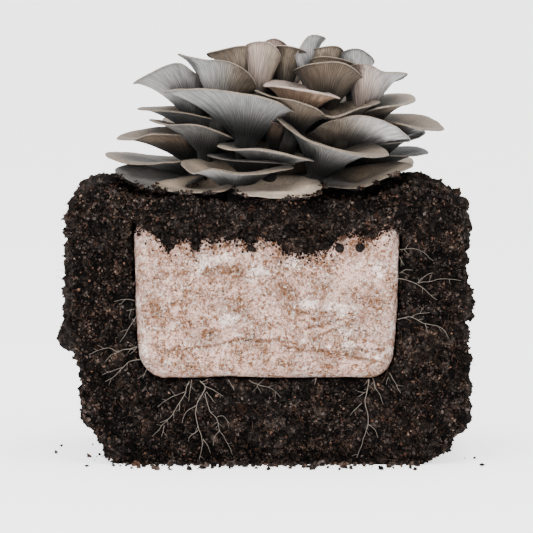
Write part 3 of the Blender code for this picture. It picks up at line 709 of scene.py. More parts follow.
def closed_by(rings, first, last):
    """Points and triangles of a tube of rings, closed by a point at each end."""
    numbers, start = [], 0
    for ring in rings:
        numbers.append(np.arange(start, start + len(ring)))
        start += len(ring)
    faces = [bridge(a, b) for a, b in zip(numbers, numbers[1:])]
    head, tail = numbers[0], numbers[-1]
    faces.append(np.stack([np.full(len(head), start), np.roll(head, -1), head], 1))
    faces.append(np.stack([np.full(len(tail), start + 1), tail, np.roll(tail, -1)], 1))
    points = np.concatenate([*rings, [first], [last]])
    faces = np.concatenate(faces)
    a, b, c = (points[faces[:, k]] for k in range(3))
    if np.einsum("ij,ij->", a, np.cross(b, c)) < 0:
        faces = faces[:, ::-1]
    return points, faces


def normals_of(points, faces):
    """The direction each point of a surface faces."""
    a, b, c = (points[faces[:, k]] for k in range(3))
    across = np.cross(b - a, c - a)
    total = np.zeros_like(points)
    for k in range(3):
        np.add.at(total, faces[:, k], across)
    return unit(total)


LIGHT_WAYS = 26  # directions looked in, spread evenly over a ball
GOLDEN_TURN = 2.399963


def openness(points, facing, solid, reach=0.075, cell=0.004):
    """How much of what each point faces is open, from 0 deep between the mushrooms to 1."""
    low = solid.min(0) - 2 * cell
    size = np.ceil((solid.max(0) + 2 * cell - low) / cell).astype(int) + 1
    filled = np.zeros(size, bool)
    filled[tuple(((solid - low) / cell).astype(int).T)] = True
    start = points + facing * cell * 1.5
    open_light, total = np.zeros(len(points)), np.zeros(len(points))
    for k in range(LIGHT_WAYS):
        height = (2 * k + 1) / LIGHT_WAYS - 1
        turn = k * GOLDEN_TURN
        way = np.array((math.cos(turn), math.sin(turn), 0)) * math.sqrt(1 - height * height)
        way[2] = height
        weight = np.maximum(facing @ way, 0)
        free = weight > 0.05
        gone = 0.6 * cell
        while gone < reach:
            here = ((start + way * gone - low) / cell).astype(int)
            inside = ((here >= 0) & (here < size)).all(1) & free
            free[inside] &= ~filled[tuple(here[inside].T)]
            gone += cell * 0.9
        open_light += weight * free
        total += weight
    return open_light / np.maximum(total, 1e-6)


class Shape:
    """Points, triangles and values at the points, gathered into one mesh."""

    def __init__(self):
        self.points, self.faces, self.values, self.count = [], [], {}, 0

    def add(self, points, faces, **values):
        self.points.append(points)
        self.faces.append(np.asarray(faces) + self.count)
        self.count += len(points)
        for name, value in values.items():
            size = (len(points), 3) if name in ("tint", "grain") else (len(points),)
            self.values.setdefault(name, []).append(np.broadcast_to(value, size))

    def piece(self, name, finish, slot, nodes=(), smooth=True):
        """Makes the object, which rides on the body and stands for these nodes."""
        mesh = bpy.data.meshes.new(name)
        points, faces = np.concatenate(self.points), np.concatenate(self.faces)
        mesh.vertices.add(len(points))
        mesh.vertices.foreach_set("co", points.astype(np.float32).ravel())
        mesh.loops.add(faces.size)
        mesh.loops.foreach_set("vertex_index", faces.astype(np.int32).ravel())
        mesh.polygons.add(len(faces))
        mesh.polygons.foreach_set("loop_start", np.arange(0, faces.size, 3, dtype=np.int32))
        mesh.polygons.foreach_set("use_smooth", np.full(len(faces), smooth))
        mesh.update(calc_edges=True)
        kinds = {"tint": ("FLOAT_COLOR", "color"), "grain": ("FLOAT_VECTOR", "vector")}
        for key, parts in self.values.items():
            value = np.concatenate(parts)
            if key == "tint":
                value = np.concatenate([value, np.ones((len(value), 1))], 1)
            kind, field = kinds.get(key, ("FLOAT", "value"))
            made = mesh.attributes.new(key, kind, "POINT")
            made.data.foreach_set(field, value.astype(np.float32).ravel())
        mesh.materials.append(finish)
        obj = bpy.data.objects.new(name, mesh)
        bpy.context.scene.collection.objects.link(obj)
        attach(obj, "root")
        if nodes:
            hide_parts(*nodes)
        return obj


def finish_named(name, make, *settings):
    """The material of this name, made on first use."""
    return bpy.data.materials.get(name) or make(*settings)


# ---- mushrooms


CURVE_STEPS = 16


def smooth_path(points, count, closed):
    """Places evenly along a smooth curve through the points."""
    points = np.asarray(points, float)
    if not closed:
        before, after = 2 * points[:1] - points[1:2], 2 * points[-1:] - points[-2:-1]
        points = np.concatenate([before, points, after])
    pieces = len(points) if closed else len(points) - 3
    t = np.arange(CURVE_STEPS)[:, None] / CURVE_STEPS
    walk = []
    for i in range(pieces):
        a, b, c, d = (points[(i + k - closed) % len(points)] for k in range(4))
        bend, twist = 2 * a - 5 * b + 4 * c - d, 3 * b - a - 3 * c + d
        walk.append(b + ((c - a) * t + bend * t**2 + twist * t**3) / 2)
    walk = np.concatenate([*walk, points[:1] if closed else points[-2:-1]])
    lengths = np.concatenate([[0], np.cumsum(np.linalg.norm(np.diff(walk, axis=0), axis=1))])
    goals = lengths[-1] * np.arange(count) / (count if closed else count - 1)
    return np.stack([np.interp(goals, lengths, walk[:, k]) for k in range(3)], 1), lengths[-1]


# Shares of the way from the stem to the edge at which there is a ring, below and on top.
UNDER = (0, 0.035, 0.08, 0.14, 0.21, 0.29, 0.38, 0.48, 0.58, 0.68, 0.78, 0.87, 0.94, 0.98, 1.0)
OVER = (1.0, 0.975, 0.93, 0.86, 0.76, 0.64, 0.5, 0.36, 0.22, 0.1, 0.0)
STEM_STEPS = 5


def mushroom_shape(mushroom, number, settings):
    """One mushroom in one closed surface: up the outside of the stem, along the gills to the
    edge and back over the top to its middle."""
    corners = np.array(mushroom.rim) * MM
    girth = smooth_path(corners, 8, True)[1]
    gills = 4 * max(8, round(girth / settings.gill_spacing / 4))
    columns = 2 * gills
    rim, _ = smooth_path(corners, columns, True)
    u = np.arange(columns) / columns
    up = unit(np.cross(rim, np.roll(rim, -1, 0)).sum(0))
    throat = np.array(mushroom.throat) * MM
    depths = ((rim - throat) @ up)[:, None]
    arms = unit(rim - throat - up * depths)
    stem = mushroom.stem * MM
    size = girth / 0.25
    on_crown = mushroom.name.startswith("crown")
    crinkle = size * (1.5 if on_crown else 1.0)

    def round_noise(wave, seed):
        """Noise round the edge with waves of this length."""
        return loop_noise(u, girth / wave, number + seed)[:, None]

    ripple = settings.ripple * crinkle * (round_noise(0.034, 0) + 0.35 * round_noise(0.010, 50))
    notch = 0.0011 * crinkle * (round_noise(0.017, 90) + 0.5 * round_noise(0.005, 60))
    roll = settings.roll * size * (0.6 if on_crown else 1) * (0.75 + 0.5 * round_noise(0.03, 7))

    def under(share):
        """The ring of the underside this share of the way from the stem to the edge."""
        rest = 1 - share
        bulge = depths * (rest - rest**FLARE)
        turned = max(0, share - 0.87) / 0.13
        sweep = ripple * share**3 - roll * (1 - math.sqrt(1 - turned * turned))
        ring = (throat + arms * stem) * rest + rim * share
        return ring + up * (bulge + sweep) + arms * notch * share**6

    grid = np.stack([under(share) for share in UNDER])
    along, across = np.gradient(grid, axis=0), np.roll(grid, -1, 1) - np.roll(grid, 1, 1)
    facing = unit(np.cross(across, along))
    if (facing[-1] @ up).mean() > 0:
        facing = -facing
    order = np.arange(columns) // 2 % 4
    starts = np.select([order == 0, order == 2], [-0.2, 0.16], 0.36)
    is_ridge = (np.arange(columns) % 2 == 0) * 1.0
    shares = np.array(UNDER)[:, None]
    height = is_ridge * ease(shares, starts, starts + 0.22) * (1 - ease(shares, 0.88, 0.99))
    height = height * (0.75 + 0.25 * loop_noise(u, gills / 2, number + 20))
    ridges = height * settings.gill_depth * min(1.3, size) * (1 - 0.3 * shares)
    grid = grid + facing * ridges[..., None]

    coarse = slice(None, None, 4)
    foot = BASE_CENTRE + (throat - BASE_CENTRE) * STEM_FOOT
    bend = throat - up * 0.45 * np.linalg.norm(throat - foot)
    arm, heading, rings = arms[coarse], Vector(-up), []
    tints, grains, gill, ridge = [], [], [], []
    left, right, top = (np.array(TONES[tone]) for tone in mushroom.tones)
    low, high = rim[:, 0].min(), rim[:, 0].max()
    stem_tint = np.array(settings.stem_colour) * 0.3 + left * 0.35 + right * 0.35
    reach = girth / 2 / math.pi / 0.0013
    edge_tint = top * 0.55 + np.array(settings.edge_colour) * 0.15
    high_up = float(mushroom.name.startswith(("crown", "upper")))
    low_down = float(mushroom.name.startswith("skirt"))
    dark, end = PAINTED_SHADE_ENDS.get(mushroom.name, (1.0, 1))

    def painted_end_shade(share):
        """How light a ring on top is at each point: painted shade darkens it towards the cap's dark
        end.
        """
        x = under(share)[coarse][:, :1]
        away = (high - x if end > 0 else x - low) / (high - low)
        return dark + (1 - dark) * ease(away, 0.1, 0.7)

    def note(ring, tint, share, on_gill, on_ridge):
        """Adds a ring with its values to the surface."""
        turn = 2 * math.pi * u[:: columns // len(ring)]
        depth = np.full(len(ring), share * 2 + number * 9)
        rings.append(ring)
        tints.append(np.broadcast_to(tint, (len(ring), 3)))
        grains.append(np.stack([np.cos(turn) * reach, np.sin(turn) * reach, depth], 1))
        gill.append(np.full(len(ring), float(on_gill)))
        ridge.append(np.broadcast_to(on_ridge, (len(ring),)))

    down = []
    for i in range(1, STEM_STEPS + 1):
        t = i / STEM_STEPS
        centre = throat * (1 - t) ** 2 + bend * 2 * t * (1 - t) + foot * t * t
        ahead = Vector((bend - throat) * (1 - t) + (foot - bend) * t).normalized()
        turn = np.array(heading.rotation_difference(ahead).to_matrix())
        arm, heading = arm @ turn.T, ahead
        wide = stem * (1 + 0.10 * t) * (1 + 0.08 * loop_noise(u[coarse], 5, number + i))[:, None]
        down.append(centre + arm * wide)
    # Painted shade: the stems, deep under the caps, are painted nearly black, darkest at the foot.
    for i, ring in enumerate(reversed(down)):
        note(ring, stem_tint * (0.12 + 0.02 * i), -0.1 * (STEM_STEPS - i), 1, 0.25)
    for share, ring, lift in zip(UNDER, grid, height):
        # Painted light: the gills go from the left tone to the right tone across the cap, lighter
        # or darker on the side as the light falls there.
        side = ease(ring[:, :1], low + 0.25 * (high - low), high - 0.15 * (high - low))
        tone = left * (1 - side) + right * side
        # Painted shade: the gills darken towards the stem, less so on the upper and crown caps.
        depth = 0.03 + 0.97 * ease(share, 0.04, 0.75) ** 1.4
        depth += ((0.35 + 0.65 * ease(share, 0.0, 0.6)) - depth) * high_up
        edge = ease(share, 0.95, 1.0) * 0.5
        note(ring, tone * depth * (1 - edge) + edge_tint * edge, share, share < 0.985, lift)
    lip = (grid[-1] + under(1.0) + up * settings.margin) / 2 + arms * settings.margin * 0.3
    note(lip[coarse], edge_tint * painted_end_shade(1.0), 1.0, 0, 0.8)
    for share in OVER:
        flesh = settings.margin + np.maximum(0, depths) * FLESH * (1 - share) ** FLARE
        ring = (under(share) + up * flesh)[coarse]
        edge = ease(share, 0.96, 1.0) * 0.6
        # The top's tone: a little lighter at the edge and darker towards the middle. On the skirt's
        # caps painted light lightens the inside, which the caps above shade, and darkens the edge;
        # on a few caps painted shade darkens one end.
        pale = 0.76 + 0.12 * ease(share, 0.6, 1.0) - 0.22 * (1 - ease(share, 0.0, 0.5))
        pale += low_down * (0.9 - 1.05 * ease(share, 0.55, 1.0))
        pale = pale * painted_end_shade(share)
        if share < 0.9:
            ring = ring + up * 0.0006 * smooth_noise(ring / 0.014, number)[:, None]
        tint = top * pale * (1 - edge) + edge_tint * edge * np.minimum(1, pale + 0.05)
        note(ring, tint, share, 0, 0.8)
    points, faces = closed_by(rings, foot, rings[-1].mean(0))
    values = {"tint": tints, "grain": grains, "gill": gill, "ridge": ridge}
    for key, parts in values.items():
        parts = np.concatenate(parts)
        values[key] = np.concatenate([parts, parts[:1], parts[-1:]])
    return points, faces, values


# The soil's top, as far as it keeps light from the mushrooms: from, to and step along x and y.
GROUND = ((-0.15, 0.15, 0.003), (-0.065, 0.115, 0.003))


class GROWKIT_OT_mushrooms(bpy.types.Operator):
    """Grow the mushrooms, each with its stem, gills and cap in one surface"""

    bl_idname = "growkit.mushrooms"
    bl_label = "Mushrooms"

    def execute(self, context):
        settings = context.scene.growkit_mushrooms
        flesh = finish_named("mushroom_flesh", flesh_finish)
        grown = [mushroom_shape(row, number, settings) for number, row in enumerate(MUSHROOMS)]
        solid = [points[faces].mean(1) for points, faces, _ in grown]
        solid += [points for points, _, _ in grown]
        across, along = (part.ravel() for part in np.meshgrid(*(np.arange(*r) for r in GROUND)))
        solid.append(np.stack([across, along, np.full(across.size, SOIL_HIGH[2])], 1))
        solid = np.concatenate(solid)
        for mushroom, (points, faces, values) in zip(MUSHROOMS, grown):
            # Painted shade: each mushroom's colour is darkened where little of what it faces is
            # open, deep between the caps; less on the skirt's caps and high in the crown.
            light = openness(points, normals_of(points, faces), solid)
            crown = ease(points[:, 2], 0.26, 0.31)
            least = 0.5 if mushroom.name.startswith("skirt") else 0.2
            shade = least + (1 - least) * ease(light, -0.02, 0.42)
            values["tint"] = values["tint"] * (shade + (1 - shade) * 0.35 * crown)[:, None]
            shape = Shape()
            shape.add(points, faces, **values)
            shape.piece("grown_" + mushroom.name, flesh, "mushroom", [mushroom.name])
        return {"FINISHED"}


class GROWKIT_OT_stem_base(bpy.types.Operator):
    """Grow the knot of fused stems in the middle of the cluster"""

    bl_idname = "growkit.stem_base"
    bl_label = "Stem base"

    def execute(self, context):
        flesh = finish_named("mushroom_flesh", flesh_finish)
        ball, faces = ball_of(4)
        bumps = 1 + 0.08 * rough_noise(ball * 2.2, 3, 4) + 0.025 * smooth_noise(ball * 9, 9)
        points = ball * bumps[:, None] * BASE_RADII + BASE_CENTRE
        points[:, 2] = np.maximum(points[:, 2], BASE_FOOT)
        turn = np.arctan2(ball[:, 1], ball[:, 0])
        grain = np.stack([np.cos(turn) * 30, np.sin(turn) * 30, ball[:, 2] * 2], 1)
        # Painted shade: the knot is painted dark all over, darkest towards its foot, as it lies
        # deep in the cluster.
        tint = np.array(TONES["taupe"]) * (0.15 + 0.25 * ease(ball[:, 2:], -0.2, 0.9))
        shape = Shape()
        shape.add(points, faces, tint=tint, grain=grain, gill=0.5, ridge=0.6)
        shape.piece("fused_stem_base", flesh, "mushroom", ["stem_base"])
        return {"FINISHED"}


def ball_of(steps):
    """Points and triangles of a ball of radius 1."""
    shape = bmesh.new()
    bmesh.ops.create_icosphere(shape, subdivisions=steps, radius=1)
    points = np.array([v.co for v in shape.verts])
    faces = np.array([[v.index for v in face.verts] for face in shape.faces])
    shape.free()
    return points, faces


# ---- block and soil


def box_grid(cells):
    """Points on a box, counted in whole steps along each side, and their triangles."""
    quads = []
    for axis in range(3):
        one, two = (axis + 1) % 3, (axis + 2) % 3
        i, j = np.meshgrid(np.arange(cells[one]), np.arange(cells[two]), indexing="ij")
        for end in (0, cells[axis]):
            loop = []
            for di, dj in ((0, 0), (1, 0), (1, 1), (0, 1)):
                index = np.empty(i.shape + (3,), int)
                index[..., axis], index[..., one], index[..., two] = end, i + di, j + dj
                loop.append(index.reshape(-1, 3))
            quads.append(np.stack(loop if end else loop[::-1], 1))
    quads = np.concatenate(quads)
    flat = quads.reshape(-1, 3)
    code = (flat[:, 0] * (cells[1] + 1) + flat[:, 1]) * (cells[2] + 1) + flat[:, 2]
    _, first, number = np.unique(code, return_index=True, return_inverse=True)
    number = number.reshape(-1, 4)
    faces = np.concatenate([number[:, :3], number[:, [0, 2, 3]]])
    return flat[first], faces


def rounded(points, low, high, radius):
    """The points moved onto a box with round edges and corners."""
    core = np.clip(points, low + radius, high - radius)
    away = points - core
    reach = np.linalg.norm(away, axis=1, keepdims=True)
    return core + away * np.minimum(1, radius / np.maximum(reach, 1e-9))


def near_line(x, z, route):
    """Distance of each place from a line through points in millimetres."""
    best = np.full(len(x), 1.0)
    for (x0, z0), (x1, z1) in zip(route, route[1:]):
        a, b = np.array((x0, z0)) * MM, np.array((x1, z1)) * MM
        place = np.stack([x, z], 1)
        t = np.clip(((place - a) @ (b - a)) / ((b - a) @ (b - a)), 0, 1)
        best = np.minimum(best, np.linalg.norm(place - a - t[:, None] * (b - a), axis=1))
    return best


def spots(x, z, rows):
    """How much each place is in one of the oval spots, from 0 to 1."""
    total = np.zeros(len(x))
    for middle, height, wide, tall in rows:
        total += np.exp(-(((x / MM - middle) / wide) ** 2 + ((z / MM - height) / tall) ** 2))
    return np.minimum(total, 1)


def half_width(z):
    """Half the block's width at each height."""
    return BLOCK_WIDTH / 2 * (1 - BLOCK_TAPER * np.clip((BLOCK_TOP - z) / BLOCK_HEIGHT, 0, 1) ** 3)


def within_block(x, z, corner, grow=0.0):
    """Whether a place on the front lies within the block's outline, made larger by grow."""
    wide, foot = half_width(z) + grow, BLOCK_FOOT - grow
    dx = np.maximum(np.abs(x) - (wide - corner), 0)
    dz = np.maximum(foot + corner - z, 0)
    return (dx**2 + dz**2 < corner**2) & (np.abs(x) < wide) & (z > foot)


BLOCK_CELLS = np.array((150, 24, 96))
EDGE_STEPS = np.array((0, 0.02, 0.08, 0.22, 0.45, 0.7, 1.0))  # rows of points over a round edge


def block_surface(corner, edge):
    """Points and triangles of the block's smooth shape, and which points are on its front."""
    index, faces = box_grid(BLOCK_CELLS)
    size = np.array((BLOCK_WIDTH, BLOCK_DEPTH, BLOCK_HEIGHT))
    low = np.array((-BLOCK_WIDTH / 2, BLOCK_FRONT, BLOCK_FOOT))
    middle = low + size / 2
    place = low + size * index / BLOCK_CELLS
    rows = EDGE_STEPS * edge
    inner_rows = np.linspace(edge, BLOCK_DEPTH - edge, 13)[1:-1]
    deep = low[1] + np.concatenate([rows, inner_rows, BLOCK_DEPTH - rows[::-1]])[index[:, 1]]
    place = rounded(place, low - (0, 1, 0), low + size + (0, 1, 0), corner)
    place[:, 1] = deep
    # the round edge of the front and the back
    inset = np.maximum(np.abs(deep - middle[1]) - (BLOCK_DEPTH / 2 - edge), 0)
    outline = (index[:, [0, 2]] == 0) | (index[:, [0, 2]] == BLOCK_CELLS[[0, 2]])
    face = (index[:, 1] == 0) | (index[:, 1] == BLOCK_CELLS[1])
    pull = np.where(
        outline.any(1), edge - np.sqrt(np.maximum(edge**2 - inset**2, 0)), edge * face)
    for axis in (0, 2):
        away = place[:, axis] - middle[axis]
        place[:, axis] = middle[axis] + away * (1 - pull / (size[axis] / 2))
    place[:, 0] *= half_width(place[:, 2]) / (BLOCK_WIDTH / 2)
    return place, faces, index[:, 1] == 0


class GROWKIT_OT_block(bpy.types.Operator):
    """Finish the sawdust block: pressed corners, folds in its skin and pitted growth"""

    bl_idname = "growkit.block"
    bl_label = "Sawdust block"

    def execute(self, context):
        settings = context.scene.growkit_block
        place, faces, front = block_surface(settings.corner, settings.edge)
        facing = normals_of(place, faces)
        x, z = place[:, 0], place[:, 2]
        bumps = 0.0007 * rough_noise(place / 0.030, 4, 3)
        bumps += 0.00025 * rough_noise(place / 0.004, 2, 8)
        fold = np.zeros(len(place))
        for number, crease in enumerate(CREASES):
            waver = 0.0012 * smooth_noise(place / 0.010, number)
            gap, above = near_line(x, z + waver, crease), near_line(x, z - 0.0030 + waver, crease)
            fold += np.exp(-((gap / 0.0009) ** 2)) - 0.6 * np.exp(-((above / 0.0018) ** 2))
        fold *= front
        pressed, raised = np.clip(fold, 0, 1), np.clip(-fold, 0, 1)
        stain, growth = spots(x, z, STAINS) * front, spots(x, z, GROWTHS) * front
        bumps += 0.0005 * growth - 0.0004 * stain - settings.crease * fold
        place = place + facing * bumps[:, None]
        edge = ease(np.abs(x), half_width(z) - 0.016, half_width(z) - 0.004)
        edge = np.maximum(edge, ease(-z, -BLOCK_FOOT - 0.008, -BLOCK_FOOT))
        # Painted shade darkens the block towards its side and foot edges and in each fold, and
        # painted light lightens the lip above each fold; the noise varies its tone at random.
        shade = (1 - 0.30 * edge) * (0.96 + 0.06 * smooth_noise(place / 0.02, 5))
        shade *= 1 - 0.65 * pressed + 0.12 * raised
        shape = Shape()
        # The folds add painted shade to the stain value; the growth value is raised at the edges
        # and, as painted light, on the lip above each fold.
        shape.add(
            place, faces, tint=np.array(settings.mycelium) * shade[:, None], stain=stain + pressed,
            growth=growth + 0.35 * edge + 0.5 * raised)
        shape.piece("grown_sawdust_block", block_finish(settings), "sawdust", ["substrate_block"])
        return {"FINISHED"}


def soil_rise(x):
    """How much higher than in the middle the soil's top lies here."""
    rise = np.zeros(len(x))
    for middle, half, height in SOIL_MOUNDS:
        rise += height * (1 - np.minimum(1, np.abs(x - middle) / half) ** 2) ** 2
    return rise


def soil_tuck(x, z):
    """How far the soil's side lies further in here than at half its height."""
    left = ease(-z, -LEFT_TUCK_HEIGHTS[1], -LEFT_TUCK_HEIGHTS[0]) * LEFT_TUCK * (x < 0)
    return FOOT_TUCK * np.maximum(0, 1 - z / FOOT_HEIGHT) ** 2 + left


SOIL_CELLS = (150, 60, 104)


def soil_surface(settings, corner):
    """Points, triangles, facing and relief of the soil's rough surface."""
    index, faces = box_grid(SOIL_CELLS)
    start = SOIL_LOW + (SOIL_HIGH - SOIL_LOW) * index / SOIL_CELLS
    front = index[:, 1] == 0
    place = rounded(start, SOIL_LOW - (0, SOIL_CORNER, 0), SOIL_HIGH, SOIL_CORNER)
    lump = np.array([noise.noise(Vector(p)) for p in place / SOIL_LUMP_LENGTH]) * SOIL_LUMPS
    outward = place - (SOIL_LOW + SOIL_HIGH) / 2
    outward[front, 1] = 0
    place += unit(outward) * lump[:, None]
    x, z = place[:, 0], place[:, 2]
    place[:, 2] = np.maximum(0, z + soil_rise(x) * (z / SOIL_HIGH[2]) ** 3)
    flat = place[:, 2] < 0.002
    x, z = place[:, 0], place[:, 2]
    place[:, 0] -= soil_tuck(x, z) * np.minimum(1, np.abs(x) / 0.13) * np.sign(x)
    x = place[:, 0]
    hang = np.interp(x, *(np.array(FRINGE) * MM).T) + 0.0035 * rough_noise(place / 0.005, 2, 29)
    over = ease(0.106 - np.abs(x), 0, 0.006) * ease(z, 0.176, 0.181)
    out = np.clip((z - LIP_FOOT) / (BLOCK_TOP - LIP_FOOT), 0, 1)
    heap = over * (0.0035 + 0.003 * ease(z, 0.186, 0.202))
    place[front, 1] = (SOIL_FRONT - LIP * out - heap)[front]
    facing = normals_of(place, faces)
    sides = np.maximum(np.abs(facing[:, 0]), 0.7 * facing[:, 2])
    rough = rough_noise(place / 0.030, 3, 11) * (0.6 + 1.6 * sides) - 0.2
    rough += (1.0 + 0.8 * sides) * np.abs(rough_noise(place / 0.010, 2, 17)) - 0.25
    rough += (0.4 + 0.4 * sides) * smooth_noise(place / 0.0038, 23)
    depth = rough * settings.rough * np.where(front, 0.75, 1.0)
    depth = np.where(front & (over > 0), np.maximum(depth, -0.001), depth)
    place = place + facing * depth[:, None]
    within = front & within_block(place[:, 0], place[:, 2], corner, 0.0012)
    place[within & (place[:, 2] < hang), 1] = BLOCK_FRONT + 0.030
    hanging = within & (place[:, 2] >= hang)
    place[hanging, 1] = np.minimum(place[hanging, 1], BLOCK_FRONT - 0.0012)
    place[:, 2] = np.where(flat, 0.0, np.maximum(place[:, 2], 0.0004))
    return place, faces, normals_of(place, faces), rough


def soil_tints(places, settings, rng, spread):
    """Colours from nearly black through brown, with a few chips."""
    dark, brown, chip = (np.array(c) for c in (settings.dark, settings.brown, settings.chip))
    pick = 0.36 + 0.5 * rough_noise(places / 0.013, 2, 31) + spread * rng.normal(size=len(places))
    share = ease(pick, 0.2, 1.2)[:, None]
    tint = dark * (1 - share) + brown * share
    clump = 0.48 + 0.9 * ease(rough_noise(places / 0.006, 3, 77), -0.45, 0.5)
    tint = tint * (clump * (0.3 + 1.5 * rng.random(len(places)) ** 3))[:, None]
    chips = (rng.random(len(places)) < 0.035 * (spread > 0))[:, None]
    return np.where(chips, chip * rng.uniform(0.15, 0.7, (len(places), 1)), tint)


class GROWKIT_OT_soil(bpy.types.Operator):
    """Shape the soil's rough body round the block"""

    bl_idname = "growkit.soil"
    bl_label = "Soil"

    def execute(self, context):
        settings = context.scene.growkit_soil
        earth = finish_named("damp_soil", soil_finish)
        place, faces, _, rough = soil_surface(settings, context.scene.growkit_block.corner)
        tint = soil_tints(place, settings, np.random.default_rng(5), 0.0)
        shape = Shape()
        # Painted shade: the soil's body, seen between the crumbs, is painted dark, darkest in the
        # hollows of its rough surface.
        shape.add(place, faces, tint=tint * (0.14 + 0.5 * ease(rough, -0.2, 0.9))[:, None])
        shape.piece("rough_soil", earth, "soil", ["soil"])
        return {"FINISHED"}


def turns_of(rng, count):
    """Random turns, as matrices."""
    w, x, y, z = unit(rng.normal(size=(count, 4))).T
    rows = (
        (1 - 2 * (y * y + z * z), 2 * (x * y - z * w), 2 * (x * z + y * w)),
        (2 * (x * y + z * w), 1 - 2 * (x * x + z * z), 2 * (y * z - x * w)),
        (2 * (x * z - y * w), 2 * (y * z + x * w), 1 - 2 * (x * x + y * y)))
    return np.moveaxis(np.array(rows), 2, 0)


# Points and triangles of the smallest crumbs.
SHARD = (
    np.array([(1, 0, 0), (-1, 0, 0), (0, 1, 0), (0, -1, 0), (0, 0, 1), (0, 0, -1)], float),
    np.array([
        (0, 2, 4), (2, 1, 4), (1, 3, 4), (3, 0, 4), (2, 0, 5), (1, 2, 5), (3, 1, 5), (0, 3, 5)]))


def add_crumbs(shape, rng, places, sizes, tints, steps=0, uneven=0.3, flat=0.45):
    """Adds a small irregular lump at each place."""
    ball, faces = ball_of(steps) if steps else SHARD
    count = len(places)
    lumps = ball[None] * (1 + uneven * rng.normal(size=(count, len(ball), 1)).clip(-1.4, 1.4))
    lumps = lumps * (1 + flat * rng.uniform(-1, 1, size=(count, 1, 3)))
    lumps = np.einsum("nij,nvj->nvi", turns_of(rng, count), lumps) * sizes[:, None, None]
    points = (places[:, None] + lumps).reshape(-1, 3)
    points[:, 2] = np.maximum(points[:, 2], 0.0)
    offsets = np.arange(count)[:, None, None] * len(ball)
    shape.add(points, (faces[None] + offsets).reshape(-1, 3), tint=np.repeat(tints, len(ball), 0))


def on_surface(rng, surface, count, weight):
    """Random places on a surface, and how it faces there."""
    points, faces, facing, _ = surface
    a, b, c = (points[faces[:, k]] for k in range(3))
    area = np.linalg.norm(np.cross(b - a, c - a), axis=1)
    way = facing[faces[:, 0]]
    share = area * weight((a + b + c) / 3, way)
    pick = rng.choice(len(faces), count, p=share / share.sum())
    s, t = rng.random((2, count, 1))
    s, t = np.where(s + t > 1, 1 - s, s), np.where(s + t > 1, 1 - t, t)
    return a[pick] + (b - a)[pick] * s + (c - a)[pick] * t, way[pick]


def tube(path, radii, sides):
    """Points and triangles of a tube with closed ends along a path."""
    ahead = unit(np.gradient(path, axis=0))
    across = unit(np.cross(ahead, (0.11, 0.97, 0.21)))
    other = np.cross(ahead, across)
    turn = (2 * np.pi * np.arange(sides) / sides)[None, :, None]
    ways = np.cos(turn) * across[:, None] + np.sin(turn) * other[:, None]
    rings = path[:, None] + radii[:, None, None] * ways
    return closed_by(list(rings), path[0], path[-1])


# Kinds of crumbs: how round, one for how many of the smallest kind, least and greatest size in
# grains, how deep they sit, and how light they are.
CRUMB_KINDS = (
    (0, 1, 0.6, 1.7, -0.3, 1.0), (1, 8, 1.0, 2.2, 0.0, 0.5), (2, 40, 2.0, 3.6, 0.2, 0.35))
# What has fallen over the block's front: how many, whether below the fringe's edge, and the least
# and greatest size in millimetres.
FRINGE_CRUMBS = ((3600, False, 0.6, 1.7), (1500, True, 0.3, 1.0))
# What lies round the foot: how many, how far out, and the least and greatest size in millimetres.
FOOT_CRUMBS = ((1300, 0.004, 0.6, 2.0), (260, 0.002, 2.0, 5.0), (200, 0.014, 0.5, 2.2))
EDGE_CRUMBS = 330  # along the edge of each cap that touches the soil
FRONT_CRUMBS = 170  # on the floor before the cut front


def strewn(rng, settings, surface, weight, count):
    """Crumbs of every kind on the soil's surface."""
    shape = Shape()
    for steps, part, small, large, sink, light in CRUMB_KINDS:
        places, ways = on_surface(rng, surface, count // part, weight)
        sizes = settings.grain * (small + (large - small) * rng.random(len(places)) ** 1.7)
        places -= ways * sizes[:, None] * sink
        tints = soil_tints(places, settings, rng, 0.3) * light
        add_crumbs(shape, rng, places, sizes, tints, steps)
    return shape


def add_fringe(shape, rng, settings):
    """The soil that has fallen over the block's upper front, with single lumps and chips."""
    fringe = np.array(FRINGE) * MM
    for count, below, small, large in FRINGE_CRUMBS:
        x = rng.uniform(-0.1005, 0.1005, count)
        foot = np.interp(x, fringe[:, 0], fringe[:, 1])
        foot += 0.0016 * smooth_noise(np.stack([x / 0.002, x, x], 1), 3)
        if below:
            z, heap = foot - rng.exponential(0.0028, count), 0
        else:
            z, heap = foot + (0.188 - foot) * rng.random(count) ** 1.5, 0.0045
        sizes = rng.uniform(small, large, count) * MM
        y = BLOCK_FRONT - sizes * 0.35 - heap * ease(z, foot, foot + 0.006)
        places = np.stack([x, y, z], 1)
        tints = soil_tints(places, settings, rng, 0.12) * (0.35 if below else 0.6)
        add_crumbs(shape, rng, places, sizes, tints)
    dark, chip = np.array([settings.dark]) * 0.35, np.array([settings.chip]) * 0.4
    lumps = [(across, up, radius, radius * 0.5, dark, (3, 0.05, 0.08))
             for across, up, radius in PELLETS]
    lumps += [(across, up, radius * 0.8, 0.8, chip, (2, 0.2, 0.5)) for across, up, radius in CHIPS]
    for across, up, radius, out, tint, kind in lumps:
        place = np.array([(across * MM, BLOCK_FRONT - out * MM, up * MM)])
        add_crumbs(shape, rng, place, np.array([radius * MM]), tint, *kind)


